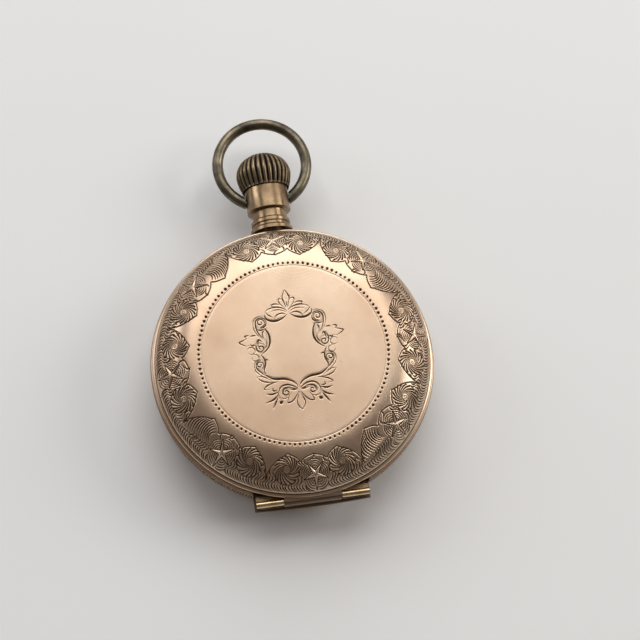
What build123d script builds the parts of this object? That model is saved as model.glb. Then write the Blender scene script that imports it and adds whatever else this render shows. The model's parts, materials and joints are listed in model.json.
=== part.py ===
from build123d import *
import math
import os

# A hunter-case pocket watch, millimetres.  It lies on its back lid: the origin is the middle of
# that lid's flat outer face, +Z points out of the front lid and +Y points to the crown and bow.
# The case hinges are at -Y.  Three o'clock is at +Y, so twelve is at -X and six is at +X.

# ---- driving dimensions: case ----
CASE_THICKNESS = 16.5
FLAT_RADIUS = 18.2
LID_WALL = 0.5
FRONT_RIM_RADIUS = 27.5
FRONT_RIM_BOTTOM = 10.4
FRONT_ARC_RADIUS = 10.5
BACK_RIM_RADIUS = 27.9
BACK_RIM_TOP = 9.6
BAND_INNER = 22.9
BAND_OUTER = 26.3
BAND_LOW_OUTER = 25.3
BAND_BOTTOM = 4.4
BAND_TOP = 11.4
FLANGE_RADIUS = 27.2

# ---- driving dimensions: hinges ----
HINGE_Y = -27.5
JOINT_TOP = 9.4
JOINT_SEAT = 25.9
BACK_HINGE_Z = 8.2
FRONT_HINGE_Z = 9.65
KNUCKLE_RADIUS = 0.65
LID_KNUCKLE_HALF = 5.6
JOINT_INNER = 5.7
JOINT_HALF = 11.0
PIN_RADIUS = 0.3
PIN_PLAY = 0.05
CUVETTE_HINGE_Y = -25.0
CUVETTE_HINGE_Z = 4.2
CUVETTE_KNUCKLE = 0.5
CUVETTE_RADIUS = 24.2
CUVETTE_PIN = 0.25

# ---- driving dimensions: pendant, crown and bow ----
STEM_Z = 7.6
STEM_RADIUS = 0.8
STEM_PLAY = 0.08
COLLAR_RADIUS = 4.35
COLLAR_END = 37.6
BOW_PIVOT_Y = 35.0
BOW_CENTRE_Y = 43.0
BOW_RADIUS = 9.0
BOW_WIRE = 1.1
BOW_CLIP = 4.5
BOW_PIN = 0.75
CROWN_START = 37.4
CROWN_FLOOR = 38.6
CROWN_END = 44.8
CROWN_RADIUS = 5.5
CROWN_LIP = 4.75
CROWN_BORE = 4.5
CROWN_FLUTES = 30

# ---- driving dimensions: movement ----
PLATE_LOW = 8.4
PLATE_HIGH = 10.4
PLATE_RADIUS = 22.4
BRIDGE_LOW = 3.4
BRIDGE_HIGH = 5.0
BRIDGE_RADIUS = 22.0
DIAL_LOW = 11.0
DIAL_HIGH = 11.5
DIAL_RADIUS = 22.2
ARBOR = 0.35
HOLE_PLAY = 0.05

# Gear modules and tooth counts, each pair as wheel and pinion.
BARREL_MODULE, BARREL_TEETH, CENTER_LEAVES = 0.26, 72, 12
CENTER_MODULE, CENTER_TEETH, THIRD_LEAVES = 0.19, 80, 10
THIRD_MODULE, THIRD_TEETH, FOURTH_LEAVES = 0.165, 75, 10
FOURTH_MODULE, FOURTH_TEETH, ESCAPE_LEAVES = 0.14, 80, 8
CANNON_MODULE, CANNON_TEETH, MINUTE_TEETH = 0.16, 12, 36
HOUR_MODULE, HOUR_TEETH, MINUTE_LEAVES = 0.128, 48, 12
WINDING_MODULE, RATCHET_TEETH, CROWN_WHEEL_TEETH = 0.301, 52, 40
CONTRATE_TEETH, WINDING_LEAVES, CONTRATE_RADIUS = 42, 14, 4.6
ESCAPE_TEETH = 15
ESCAPE_RADIUS = 3.8

# Places of the arbors, worked out from the gear pairs' centre distances.
def polar(radius, degrees, start=(0.0, 0.0)):
    """The point at a radius and angle from a starting point."""
    turn = math.radians(degrees)
    return (start[0] + radius * math.cos(turn), start[1] + radius * math.sin(turn))


def bearing(start, end):
    """The angle in degrees from one point to another."""
    return math.degrees(math.atan2(end[1] - start[1], end[0] - start[0]))


def spacing(module, teeth, leaves):
    """The centre distance of a gear pair."""
    return module * (teeth + leaves) / 2


def third_corner(start, end, from_start, from_end):
    """The point left of the line from start to end at the two given distances."""
    line = math.dist(start, end)
    along = (from_start**2 - from_end**2 + line**2) / (2 * line)
    angle = math.degrees(math.acos(along / from_start))
    return polar(from_start, bearing(start, end) + angle, start)


CENTER = (0.0, 0.0)
FOURTH = (10.0, 0.0)
THIRD = third_corner(
    CENTER,
    FOURTH,
    spacing(CENTER_MODULE, CENTER_TEETH, THIRD_LEAVES),
    spacing(THIRD_MODULE, THIRD_TEETH, FOURTH_LEAVES),
)
ESCAPE = polar(spacing(FOURTH_MODULE, FOURTH_TEETH, ESCAPE_LEAVES), -70.0, FOURTH)
BARREL = polar(spacing(BARREL_MODULE, BARREL_TEETH, CENTER_LEAVES), 165.0)
PALLET = (9.3, -9.2)
BALANCE = (4.6, -12.4)
CONTRATE_Y = 16.4
CROWN_WHEEL = (0.0, CONTRATE_Y - CONTRATE_RADIUS)
MINUTE_WHEEL = polar(spacing(CANNON_MODULE, CANNON_TEETH, MINUTE_TEETH), 135.0)
WINDING_PITCH = CONTRATE_RADIUS * WINDING_LEAVES / CONTRATE_TEETH

# Levels in the train space, each as low and high.
BARREL_TEETH_LEVEL = (6.6, 7.3)
DRUM_LEVEL = (5.2, 7.4)
CENTER_LEVEL = (7.6, 8.0)
THIRD_LEVEL = (6.6, 6.9)
FOURTH_LEVEL = (7.15, 7.4)
ESCAPE_LEVEL = (6.2, 6.5)
FORK_LEVEL = (6.15, 6.55)
BALANCE_LEVEL = (4.1, 4.9)
SPUR_LEVEL = (2.7, 3.3)
COCK_LEVEL = (2.6, 3.4)
PALLET_BRIDGE_LEVEL = (5.2, 5.8)

BALANCE_RADIUS = 7.8
BALANCE_ROOM = 8.4
CROWN_WHEEL_ROOM = 7.0
SCREW_HEAD = 0.9

BARREL_FEET = ((-3.9, 20.0), (-17.5, -9.5), (-6.3, -10.0))
TRAIN_FEET = ((20.0, 4.0), (9.5, 17.5), (18.6, -7.5))
COCK_FOOT = (-6.6, -17.4)
CASE_SCREWS = ((-21.2, -7.0), (21.2, -7.0), (7.0, 21.3))


# ---- plain solids ----
def disc(radius, low, high, at=(0.0, 0.0)):
    """An upright cylinder between two levels."""
    return Pos(at[0], at[1], low) * extrude(Circle(radius), high - low)


def ring(outer, inner, low, high, at=(0.0, 0.0)):
    """An upright tube between two levels."""
    return Pos(at[0], at[1], low) * extrude(Circle(outer) - Circle(inner), high - low)


def block(xs, ys, zs):
    """A box between pairs of coordinates."""
    size = [pair[1] - pair[0] for pair in (xs, ys, zs)]
    middle = [(pair[1] + pair[0]) / 2 for pair in (xs, ys, zs)]
    return Pos(*middle) * Box(*size)


def rod_x(radius, xs, y, z):
    """A cylinder along X between two places."""
    return Pos(xs[0], y, z) * Rot(0, 90, 0) * extrude(Circle(radius), xs[1] - xs[0])


def rod_y(radius, ys, z, x=0.0):
    """A cylinder along Y between two places."""
    return Pos(x, ys[0], z) * Rot(-90, 0, 0) * extrude(Circle(radius), ys[1] - ys[0])


def lathe(outline):
    """A closed outline of radius and height, turned about Z."""
    return revolve(Plane.XZ * make_face(outline), Axis.Z)


def lathe_y(outline, z):
    """A closed outline of radius and length, turned about the line along Y at a height."""
    return Pos(0, 0, z) * Rot(-90, 0, 0) * lathe(outline)


def bar(start, end, width, levels):
    """A flat bar with round ends between two points."""
    middle = ((start[0] + end[0]) / 2, (start[1] + end[1]) / 2)
    shape = SlotCenterToCenter(math.dist(start, end), width)
    place = Pos(middle[0], middle[1], levels[0]) * Rot(0, 0, bearing(start, end))
    return place * extrude(shape, levels[1] - levels[0])


def sector(radii, angles, levels):
    """A piece of a flat ring between two angles."""
    outer, inner = radii
    first, last = angles
    middle = (first + last) / 2
    outline = (
        ThreePointArc(polar(outer, first), polar(outer, middle), polar(outer, last))
        + Line(polar(outer, last), polar(inner, last))
        + ThreePointArc(polar(inner, last), polar(inner, middle), polar(inner, first))
        + Line(polar(inner, first), polar(outer, first))
    )
    return Pos(0, 0, levels[0]) * extrude(make_face(outline), levels[1] - levels[0])


# ---- gears ----
ADDENDUM, DEDENDUM = 0.80, 1.15
TOOTH_TIP, TOOTH_ROOT = 0.11, 0.31


def meshed(teeth, phase, others, toward):
    """The phase of a second gear that meets a first one along a direction."""
    pitch, other_pitch = 360 / teeth, 360 / others
    offset = (phase - toward) / pitch
    return toward + 180 + other_pitch / 2 - offset * other_pitch


def gear(teeth, module, levels, at, phase=0.0, bore=0.0, spokes=0, hub=0.0):
    """A spur gear, with crossings cut out when it has spokes."""
    pitch_radius = module * teeth / 2
    tip, root = pitch_radius + ADDENDUM * module, pitch_radius - DEDENDUM * module
    pitch = 360 / teeth
    corners = ((root, -TOOTH_ROOT), (tip, -TOOTH_TIP), (tip, TOOTH_TIP), (root, TOOTH_ROOT))
    points = []
    for tooth in range(teeth):
        middle = phase + tooth * pitch
        points += [polar(radius, middle + part * pitch) for radius, part in corners]
    shape = make_face(Polyline(*points, close=True))
    if spokes:
        rim = root - 2.2 * module
        window = Circle(rim) - Circle(hub)
        for spoke in range(spokes):
            window -= Rot(0, 0, spoke * 180 / spokes) * Rectangle(2.2 * rim, 0.16 * rim)
        shape -= window
    if bore:
        shape -= Circle(bore)
    return Pos(at[0], at[1], levels[0]) * extrude(shape, levels[1] - levels[0])


def ribbon(inner, outer, turns, thickness, levels, at, start=0.0):
    """A flat spiral spring."""
    steps = int(turns * 12)

    def edge(offset):
        places = []
        for step in range(steps + 1):
            part = step / steps
            radius = inner + (outer - inner) * part + offset
            places.append(polar(radius, start + 360 * turns * part))
        return places

    near, far = edge(0.0), edge(thickness)
    outline = Spline(*near) + Line(near[-1], far[-1]) + Spline(*reversed(far)) + Line(far[0], near[0])
    return Pos(at[0], at[1], levels[0]) * extrude(make_face(outline), levels[1] - levels[0])


# ---- case ----
def front_lid():
    """The domed front cover with its rim bead and the middle hinge knuckle."""
    arc_centre = CASE_THICKNESS - FRONT_ARC_RADIUS
    wall_radius = FRONT_RIM_RADIUS - 0.6
    inner_radius = FRONT_RIM_RADIUS - 1.0
    inner_arc = FRONT_ARC_RADIUS - LID_WALL
    bead_z = FRONT_RIM_BOTTOM + 0.4

    def arc_point(radius, reach):
        return (reach, arc_centre + math.sqrt(radius**2 - (reach - FLAT_RADIUS) ** 2))

    outer_end = arc_point(FRONT_ARC_RADIUS, wall_radius)
    inner_end = arc_point(inner_arc, inner_radius)
    bead_top = (wall_radius + 0.12, bead_z + 0.42)
    bead_low = (wall_radius + 0.3, FRONT_RIM_BOTTOM)
    outline = (
        Line((0, CASE_THICKNESS), (FLAT_RADIUS, CASE_THICKNESS))
        + ThreePointArc(
            (FLAT_RADIUS, CASE_THICKNESS),
            arc_point(FRONT_ARC_RADIUS, (FLAT_RADIUS + wall_radius) / 2),
            outer_end,
        )
        + Line(outer_end, bead_top)
        + ThreePointArc(bead_top, (FRONT_RIM_RADIUS, bead_z), bead_low)
        + Polyline(bead_low, (inner_radius, FRONT_RIM_BOTTOM), inner_end)
        + ThreePointArc(
            inner_end,
            arc_point(inner_arc, (FLAT_RADIUS + inner_radius) / 2),
            (FLAT_RADIUS, CASE_THICKNESS - LID_WALL),
        )
        + Polyline(
            (FLAT_RADIUS, CASE_THICKNESS - LID_WALL), (0, CASE_THICKNESS - LID_WALL), (0, CASE_THICKNESS)
        )
    )
    span = (-LID_KNUCKLE_HALF, LID_KNUCKLE_HALF)
    leaf = block(span, (HINGE_Y - 0.3, -26.6), (FRONT_RIM_BOTTOM, FRONT_RIM_BOTTOM + 0.45))
    leaf += block(span, (HINGE_Y - 0.3, HINGE_Y + 0.45), (FRONT_HINGE_Z, FRONT_RIM_BOTTOM))
    knuckle = rod_x(KNUCKLE_RADIUS, span, HINGE_Y, FRONT_HINGE_Z)
    bore = rod_x(PIN_RADIUS + PIN_PLAY, (-12, 12), HINGE_Y, FRONT_HINGE_Z)
    return lathe(outline) + leaf + knuckle - bore


def back_lid():
    """The deeper back cover, notched for the pendant and the hinge block."""
    wall_radius = BACK_RIM_RADIUS - 0.2
    inner_radius = wall_radius - 0.6
    turn_z = BACK_RIM_TOP - 1.0
    fullness = 0.85

    def bend(radius, low):
        reach, rise = radius - FLAT_RADIUS, turn_z - low
        return (
            (FLAT_RADIUS, low),
            (FLAT_RADIUS + fullness * reach, low),
            (radius, turn_z - fullness * rise),
            (radius, turn_z),
        )

    outer, inner = bend(wall_radius, 0.0), bend(inner_radius, LID_WALL)
    outline = (
        Line((0, 0), outer[0])
        + Bezier(*outer)
        + ThreePointArc(outer[-1], (BACK_RIM_RADIUS, BACK_RIM_TOP - 0.5), (wall_radius, BACK_RIM_TOP))
        + Polyline((wall_radius, BACK_RIM_TOP), (inner_radius, BACK_RIM_TOP), inner[-1])
        + Bezier(*reversed(inner))
        + Polyline(inner[0], (0, LID_WALL), (0, 0))
    )
    lid = lathe(outline)
    joint_floor = BACK_HINGE_Z - KNUCKLE_RADIUS - 0.1
    half = JOINT_HALF + 0.3
    lid -= block((-half, half), (-30, -22), (joint_floor, BACK_RIM_TOP + 1))
    ledge = block((-half, half), (HINGE_Y - 0.6, -24.6), (joint_floor - 0.75, joint_floor))
    reach = disc(BACK_RIM_RADIUS + 0.75, 0, BACK_RIM_TOP) - disc(inner_radius - 0.55, -1, BACK_RIM_TOP + 1)
    lid += ledge & reach
    span = (-LID_KNUCKLE_HALF, LID_KNUCKLE_HALF)
    lid += rod_x(KNUCKLE_RADIUS, span, HINGE_Y, BACK_HINGE_Z)
    lid += block(span, (HINGE_Y - 0.6, HINGE_Y + 0.6), (joint_floor - 0.2, BACK_HINGE_Z - 0.2))
    lid -= rod_x(PIN_RADIUS + PIN_PLAY, (-12, 12), HINGE_Y, BACK_HINGE_Z)
    notch = 2.75
    lid -= rod_y(notch, (25.5, 29), STEM_Z)
    lid -= block((-notch, notch), (25.5, 29), (STEM_Z, BACK_RIM_TOP + 1))
    return lid


def case_band():
    """The middle of the case that holds the movement and both hinges."""
    step_z = 5.8
    outline = Polyline(
        (BAND_INNER, BAND_BOTTOM),
        (BAND_LOW_OUTER, BAND_BOTTOM),
        (BAND_LOW_OUTER, step_z),
        (BAND_OUTER, step_z + 0.6),
        (BAND_OUTER, 9.75),
        (FLANGE_RADIUS, 9.75),
        (FLANGE_RADIUS, 10.15),
        (BAND_OUTER, 10.15),
        (BAND_OUTER, BAND_TOP),
        (BAND_INNER, BAND_TOP),
        (BAND_INNER, BAND_BOTTOM),
    )
    band = lathe(outline)
    half = JOINT_HALF + 0.2
    band -= block((-half, half), (-30, -JOINT_SEAT), (7.0, 10.4))
    band -= block((-half, half), (-30, -26.0), (9.0, BAND_TOP + 1)) - disc(26.2, 9.0, BAND_TOP + 1)
    band -= rod_y(1.5, (22, 27), STEM_Z)
    band -= rod_y(2.6, (25.9, 29), STEM_Z)
    for side in (-1, 1):
        span = sorted((side * 2.2, side * 4.0))
        band += rod_x(CUVETTE_KNUCKLE, span, CUVETTE_HINGE_Y, CUVETTE_HINGE_Z)
    band -= rod_x(CUVETTE_PIN, (-4.0, 4.0), CUVETTE_HINGE_Y, CUVETTE_HINGE_Z)
    band -= block((-2.2, 2.2), (-26, -24.35), (3, 4.95))
    for place in CASE_SCREWS:
        band -= disc(1.3, 6.6, PLATE_LOW + 1.4, place)
    return band


def case_joint():
    """The brass hinge block, with the outer knuckles of both lids."""
    middle = (-LID_KNUCKLE_HALF - 0.1, LID_KNUCKLE_HALF + 0.1)
    levels = (BACK_HINGE_Z - KNUCKLE_RADIUS, JOINT_TOP)
    joint = block(middle, (HINGE_Y + 0.85, -JOINT_SEAT), levels)
    for side in (-1, 1):
        span = sorted((side * JOINT_INNER, side * JOINT_HALF))
        joint += block(span, (HINGE_Y, -JOINT_SEAT), levels)
        for z in (BACK_HINGE_Z, FRONT_HINGE_Z):
            joint += rod_x(KNUCKLE_RADIUS, span, HINGE_Y, z)
    joint -= disc(JOINT_SEAT, 7.0, 11.0)
    for z in (BACK_HINGE_Z, FRONT_HINGE_Z):
        joint -= rod_x(PIN_RADIUS, (-12, 12), HINGE_Y, z)
    return joint


def cuvette():
    """The inner dust cover, a thin dish with its own small hinge knuckle."""
    low, wall, high = 1.3, 0.4, 4.3
    flat = 20.0

    def bend(radius, floor):
        reach = radius - flat
        return (
            (flat, floor),
            (flat + 0.65 * reach, floor),
            (radius, floor + 0.36 * (high - floor)),
            (radius, high),
        )

    outer, inner = bend(CUVETTE_RADIUS, low), bend(CUVETTE_RADIUS - wall, low + wall)
    outline = (
        Line((0, low), outer[0])
        + Bezier(*outer)
        + Line(outer[-1], inner[-1])
        + Bezier(*reversed(inner))
        + Polyline(inner[0], (0, low + wall), (0, low))
    )
    dish = lathe(outline)
    span = (-2.1, 2.1)
    dish += rod_x(CUVETTE_KNUCKLE, span, CUVETTE_HINGE_Y, CUVETTE_HINGE_Z)
    dish += block(span, (CUVETTE_HINGE_Y, -23.9), (CUVETTE_HINGE_Z - 0.5, CUVETTE_HINGE_Z + 0.1))
    return dish - rod_x(CUVETTE_PIN + PIN_PLAY, (-5, 5), CUVETTE_HINGE_Y, CUVETTE_HINGE_Z)


def bezel():
    """The ring that holds the crystal over the dial."""
    return lathe(
        Polyline(
            (22.4, BAND_TOP),
            (24.6, BAND_TOP),
            (24.6, 12.4),
            (24.0, 13.0),
            (22.4, 13.0),
            (22.4, 12.2),
            (21.8, 12.2),
            (21.8, 11.8),
            (22.4, 11.8),
            (22.4, BAND_TOP),
        )
    )


def crystal():
    """The domed glass."""
    edge, low, thick, rise = 22.35, 12.2, 0.5, 2.0
    dome = (edge**2 + rise**2) / (2 * rise)
    middle_reach = edge / 2
    middle_rise = rise - dome + math.sqrt(dome**2 - middle_reach**2)
    return lathe(
        ThreePointArc((0, low + rise), (middle_reach, low + middle_rise), (edge, low))
        + Line((edge, low), (edge, low + thick))
        + ThreePointArc(
            (edge, low + thick), (middle_reach, low + thick + middle_rise), (0, low + thick + rise)
        )
        + Line((0, low + thick + rise), (0, low + rise))
    )


def pendant():
    """The stepped neck that carries the bow and guides the stem."""
    bore = 1.6
    body = lathe_y(
        Polyline(
            (bore, 25.9),
            (2.6, 25.9),
            (2.6, 28.05),
            (4.25, 28.05),
            (4.25, 28.7),
            (3.6, 29.2),
            (3.6, 29.6),
            (3.9, 29.8),
            (3.9, 30.4),
            (3.45, 30.8),
            (3.45, 32.3),
            (COLLAR_RADIUS, 32.6),
            (COLLAR_RADIUS, COLLAR_END),
            (bore, COLLAR_END),
            (bore, 25.9),
        ),
        STEM_Z,
    )
    for side in (-1, 1):
        body -= rod_x(BOW_PIN + HOLE_PLAY, sorted((side * 3.2, side * 5.0)), BOW_PIVOT_Y, STEM_Z)
    return body


def pendant_sleeve():
    """The lining of the pendant that the stem runs in."""
    inner = STEM_RADIUS + STEM_PLAY
    return lathe_y(
        Polyline((inner, 26.2), (1.6, 26.2), (1.6, 37.2), (inner, 37.2), (inner, 26.2)), STEM_Z
    )


def bow():
    """The round wire loop with a pivot pin on each end."""
    loop = Pos(0, BOW_CENTRE_Y, STEM_Z) * Torus(BOW_RADIUS, BOW_WIRE)
    loop -= block((-BOW_CLIP, BOW_CLIP), (BOW_PIVOT_Y - 4, BOW_CENTRE_Y), (0, 15))
    for side in (-1, 1):
        span = sorted((side * 3.4, side * (BOW_CLIP + 0.4)))
        loop += rod_x(BOW_PIN, span, BOW_PIVOT_Y, STEM_Z)
    return loop


def crown():
    """The fluted onion crown, hollow below so that it covers the collar's end."""
    widest = CROWN_START + 3.5
    flat = 2.0
    body = lathe_y(
        Line((0, CROWN_END), (flat, CROWN_END))
        + Spline(
            (flat, CROWN_END), (4.5, CROWN_END - 1.5), (CROWN_RADIUS, widest), (CROWN_LIP, CROWN_START),
            tangents=((1, -0.1), (-0.35, -1)),
        )
        + Polyline(
            (CROWN_LIP, CROWN_START), (CROWN_BORE, CROWN_START), (CROWN_BORE, CROWN_FLOOR),
            (0, CROWN_FLOOR), (0, CROWN_END),
        ),
        STEM_Z,
    )
    cutter = rod_y(0.3, (CROWN_START + 1, CROWN_END - 2.0), STEM_Z, CROWN_RADIUS + 0.12)
    for flute in range(CROWN_FLUTES):
        turn = Pos(0, 0, STEM_Z) * Rot(0, flute * 360 / CROWN_FLUTES, 0) * Pos(0, 0, -STEM_Z)
        body -= turn * cutter
    return body


def stem():
    """The winding stem, round in the pendant and square in the winding arbor."""
    square = 1.0
    body = rod_y(STEM_RADIUS, (24.6, CROWN_FLOOR), STEM_Z)
    return body + block(
        (-square / 2, square / 2), (21.2, 24.8), (STEM_Z - square / 2, STEM_Z + square / 2)
    )


def case_spring(first, last):
    """A flat spring curled inside the case band."""
    arc = sector((BAND_INNER, BAND_INNER - 0.4), (first, last), (5.4, 6.3))
    return arc + sector((BAND_INNER, BAND_INNER - 0.7), (last - 4, last), (5.2, 6.5))


# ---- movement ----
def pivots(at, low, high, inner):
    """An arbor with thinner ends between two levels."""
    tip = 0.2
    body = disc(tip, low, high, at)
    return body + disc(ARBOR, inner[0], inner[1], at)


def main_plate():
    """The dial-side plate with pockets for the motion works and the winding parts."""
    plate = disc(PLATE_RADIUS, PLATE_LOW, PLATE_HIGH)
    plate += disc(BAND_INNER, PLATE_HIGH - 0.4, PLATE_HIGH)
    plate += disc(1.15, BRIDGE_LOW - 0.2, PLATE_LOW, CROWN_WHEEL)
    plate -= disc(6.1, 9.55, PLATE_HIGH + 1, (-1.0, 1.0))
    plate -= disc(3.4, 9.55, PLATE_HIGH + 1, MINUTE_WHEEL)
    plate -= block((-2.2, 2.2), (14.5, 23.0), (PLATE_LOW - 1, 9.8))
    plate -= disc(0.85, PLATE_LOW - 1, PLATE_HIGH + 1, CENTER)
    for place in (THIRD, FOURTH, ESCAPE, PALLET, BALANCE):
        plate -= disc(0.6, PLATE_LOW - 1, PLATE_LOW + 0.5, place)
        plate -= disc(0.45, PLATE_LOW, PLATE_HIGH + 1, place)
    plate -= disc(1.0 + HOLE_PLAY, PLATE_LOW - 1, PLATE_LOW + 0.9, BARREL)
    plate -= disc(0.4, 9.0, PLATE_HIGH + 1, MINUTE_WHEEL)
    for place in CASE_SCREWS:
        plate -= disc(1.3, PLATE_LOW - 1, PLATE_LOW + 0.9, place)
    return plate


def dial():
    """The enamel dial with its sunk seconds field and three feet."""
    plate = disc(DIAL_RADIUS, DIAL_LOW, DIAL_HIGH)
    plate -= disc(1.2, DIAL_LOW - 1, DIAL_HIGH + 1)
    plate -= disc(5.6, DIAL_HIGH - 0.15, DIAL_HIGH + 1, FOURTH)
    plate -= disc(0.5, DIAL_LOW - 1, DIAL_HIGH + 1, FOURTH)
    for angle in (60, 190, 310):
        plate += disc(0.6, PLATE_HIGH, DIAL_LOW, polar(19.0, angle))
    return plate


def hand(length, tail, widths, levels, at, toward, hub, bore):
    """A hand with a pointed blade, a spade swelling and a short tail."""
    wide, slim = widths
    outline = Polyline(
        (0, slim),
        (0.62 * length, 0.7 * slim),
        (0.74 * length, wide),
        (length, 0.05),
        (length, -0.05),
        (0.74 * length, -wide),
        (0.62 * length, -0.7 * slim),
        (0, -slim),
        (-tail, -1.4 * slim),
        (-tail, 1.4 * slim),
        (0, slim),
    )
    shape = make_face(outline) + Circle(hub) - Circle(bore)
    return Pos(at[0], at[1], levels[0]) * Rot(0, 0, toward) * extrude(shape, levels[1] - levels[0])


CENTER_PHASE = 0.0
THIRD_PHASE = 0.0


def center_wheel():
    """The wheel that turns once an hour, with its leaves and long arbor."""
    body = gear(CENTER_TEETH, CENTER_MODULE, CENTER_LEVEL, CENTER, CENTER_PHASE, 0, 5, 1.5)
    leaves = meshed(BARREL_TEETH, 0.0, CENTER_LEAVES, bearing(BARREL, CENTER))
    body += gear(CENTER_LEAVES, BARREL_MODULE, (5.9, 7.6), CENTER, leaves)
    body += disc(0.75, 5.3, 9.0)
    return body + disc(0.4, 4.0, 12.9)


def third_wheel():
    """The third wheel and its leaves."""
    body = gear(THIRD_TEETH, THIRD_MODULE, THIRD_LEVEL, THIRD, THIRD_PHASE, 0, 5, 1.2)
    leaves = meshed(CENTER_TEETH, CENTER_PHASE, THIRD_LEAVES, bearing(CENTER, THIRD))
    body += gear(THIRD_LEAVES, CENTER_MODULE, (THIRD_LEVEL[0], 8.2), THIRD, leaves)
    return body + pivots(THIRD, 4.2, 9.0, (5.2, 8.3))


def fourth_wheel():
    """The fourth wheel, which turns once a minute and carries the seconds hand."""
    body = gear(FOURTH_TEETH, FOURTH_MODULE, FOURTH_LEVEL, FOURTH, 0.0, 0, 5, 1.1)
    leaves = meshed(THIRD_TEETH, THIRD_PHASE, FOURTH_LEAVES, bearing(THIRD, FOURTH))
    body += gear(FOURTH_LEAVES, THIRD_MODULE, (6.4, FOURTH_LEVEL[1]), FOURTH, leaves)
    return body + pivots(FOURTH, 4.2, 11.75, (5.2, 8.3))


def escape_wheel():
    """The escape wheel, with raked teeth, and its leaves."""
    pitch = 360 / ESCAPE_TEETH
    points = []
    for tooth in range(ESCAPE_TEETH):
        start = tooth * pitch
        points += [
            polar(ESCAPE_RADIUS - 0.75, start),
            polar(ESCAPE_RADIUS, start + 7.0),
            polar(ESCAPE_RADIUS, start + 9.0),
            polar(ESCAPE_RADIUS - 0.75, start + 11.0),
        ]
    shape = make_face(Polyline(*points, close=True))
    window = Circle(ESCAPE_RADIUS - 1.15) - Circle(0.9)
    for spoke in range(2):
        window -= Rot(0, 0, spoke * 90) * Rectangle(2 * ESCAPE_RADIUS, 0.5)
    shape -= window
    low, high = ESCAPE_LEVEL
    body = Pos(ESCAPE[0], ESCAPE[1], low) * extrude(shape, high - low)
    leaves = meshed(FOURTH_TEETH, 0.0, ESCAPE_LEAVES, bearing(FOURTH, ESCAPE))
    body += gear(ESCAPE_LEAVES, FOURTH_MODULE, (high, 7.55), ESCAPE, leaves)
    return body + pivots(ESCAPE, 4.2, 9.0, (5.2, 8.3))


STONE_CLEAR = ESCAPE_RADIUS + 0.32
STONE_ANGLE = 30.0


def stone_place(side):
    """The place of one pallet stone beside the escape wheel."""
    return polar(STONE_CLEAR + 0.3, bearing(ESCAPE, PALLET) + side * STONE_ANGLE, ESCAPE)


def pallet_fork():
    """The lever with its two arms and its fork."""
    fork_end = polar(3.3, bearing(PALLET, BALANCE), PALLET)
    body = bar(PALLET, fork_end, 0.55, FORK_LEVEL)
    tip = bearing(PALLET, BALANCE)
    for side in (-1, 1):
        root = polar(0.35, tip + side * 90, fork_end)
        body += bar(fork_end, root, 0.4, FORK_LEVEL)
        body += bar(root, polar(0.5, tip + side * 8, root), 0.3, FORK_LEVEL)
        body += bar(PALLET, stone_place(side), 0.95, FORK_LEVEL)
    for side in (-1, 1):
        body -= stone(side)
    return body + pivots(PALLET, 5.4, 9.0, (6.0, 8.3))


def stone(side):
    """One ruby block set in an arm of the fork."""
    place = stone_place(side)
    size = (0.34, 0.6, 0.5)
    shift = Pos(place[0], place[1], sum(FORK_LEVEL) / 2)
    return shift * Rot(0, 0, bearing(ESCAPE, place) + 90) * Box(*size)


def balance_wheel():
    """The cut bimetal rim and its arm."""
    low, high = BALANCE_LEVEL
    body = ring(BALANCE_RADIUS - 0.35, BALANCE_RADIUS - 1.0, low, high)
    for side in (0, 180):
        gap = polar(BALANCE_RADIUS - 0.7, 14 + side)
        body -= Pos(gap[0], gap[1], (low + high) / 2) * Rot(0, 0, 14 + side) * Box(2.0, 0.25, 2.0)
    body += block((1.0 - BALANCE_RADIUS, BALANCE_RADIUS - 1.0), (-0.6, 0.6), (low + 0.2, high - 0.2))
    body += disc(1.1, low + 0.2, high - 0.2)
    for place in screw_angles():
        x, y = polar(BALANCE_RADIUS - 0.7, place)
        turn = Pos(x, y, (low + high) / 2) * Rot(0, 0, place) * Rot(0, 90, 0)
        body -= turn * Cylinder(0.17, 2.0)
    return Pos(*BALANCE, 0) * body - disc(0.5, low - 1, high + 1, BALANCE)


def screw_angles():
    """The angles of the balance screws, clear of the rim's cuts."""
    return [side + step * 18 for side in (0, 180) for step in range(2, 10)]


def balance_screws():
    """The screws around the balance rim."""
    middle = sum(BALANCE_LEVEL) / 2
    screws = []
    for angle in screw_angles():
        x, y = polar(BALANCE_RADIUS - 0.33, angle, BALANCE)
        turn = Pos(x, y, middle) * Rot(0, 0, angle) * Rot(0, 90, 0)
        head = turn * extrude(Circle(0.3), 0.35)
        screws.append(head + turn * Pos(0, 0, -0.6) * extrude(Circle(0.16), 0.7))
    return screws


def balance_staff():
    """The balance staff with the collet for the hairspring."""
    body = disc(0.5, BALANCE_LEVEL[0], 5.6, BALANCE) + disc(0.7, 3.6, BALANCE_LEVEL[0], BALANCE)
    return body + disc(0.35, 5.6, 8.3, BALANCE) + disc(0.15, 2.9, 8.9, BALANCE)


def roller_table():
    """The roller with its impulse pin."""
    body = ring(1.5, 0.35, 6.6, 6.9, BALANCE)
    pin = polar(1.15, bearing(BALANCE, PALLET), BALANCE)
    return body + disc(0.2, 6.15, 6.7, pin)


def hairspring():
    """The flat balance spring, whose outer end is held by the stud."""
    return ribbon(0.85, 3.2, 8, 0.09, (3.62, 3.86), BALANCE, 40)


def hairspring_stud():
    """The small block that holds the hairspring's outer end under the cock."""
    return disc(0.35, 3.45, 3.95, polar(3.65, 44, BALANCE)) + disc(0.2, 3.4, 3.5, polar(3.65, 44, BALANCE))


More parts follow.
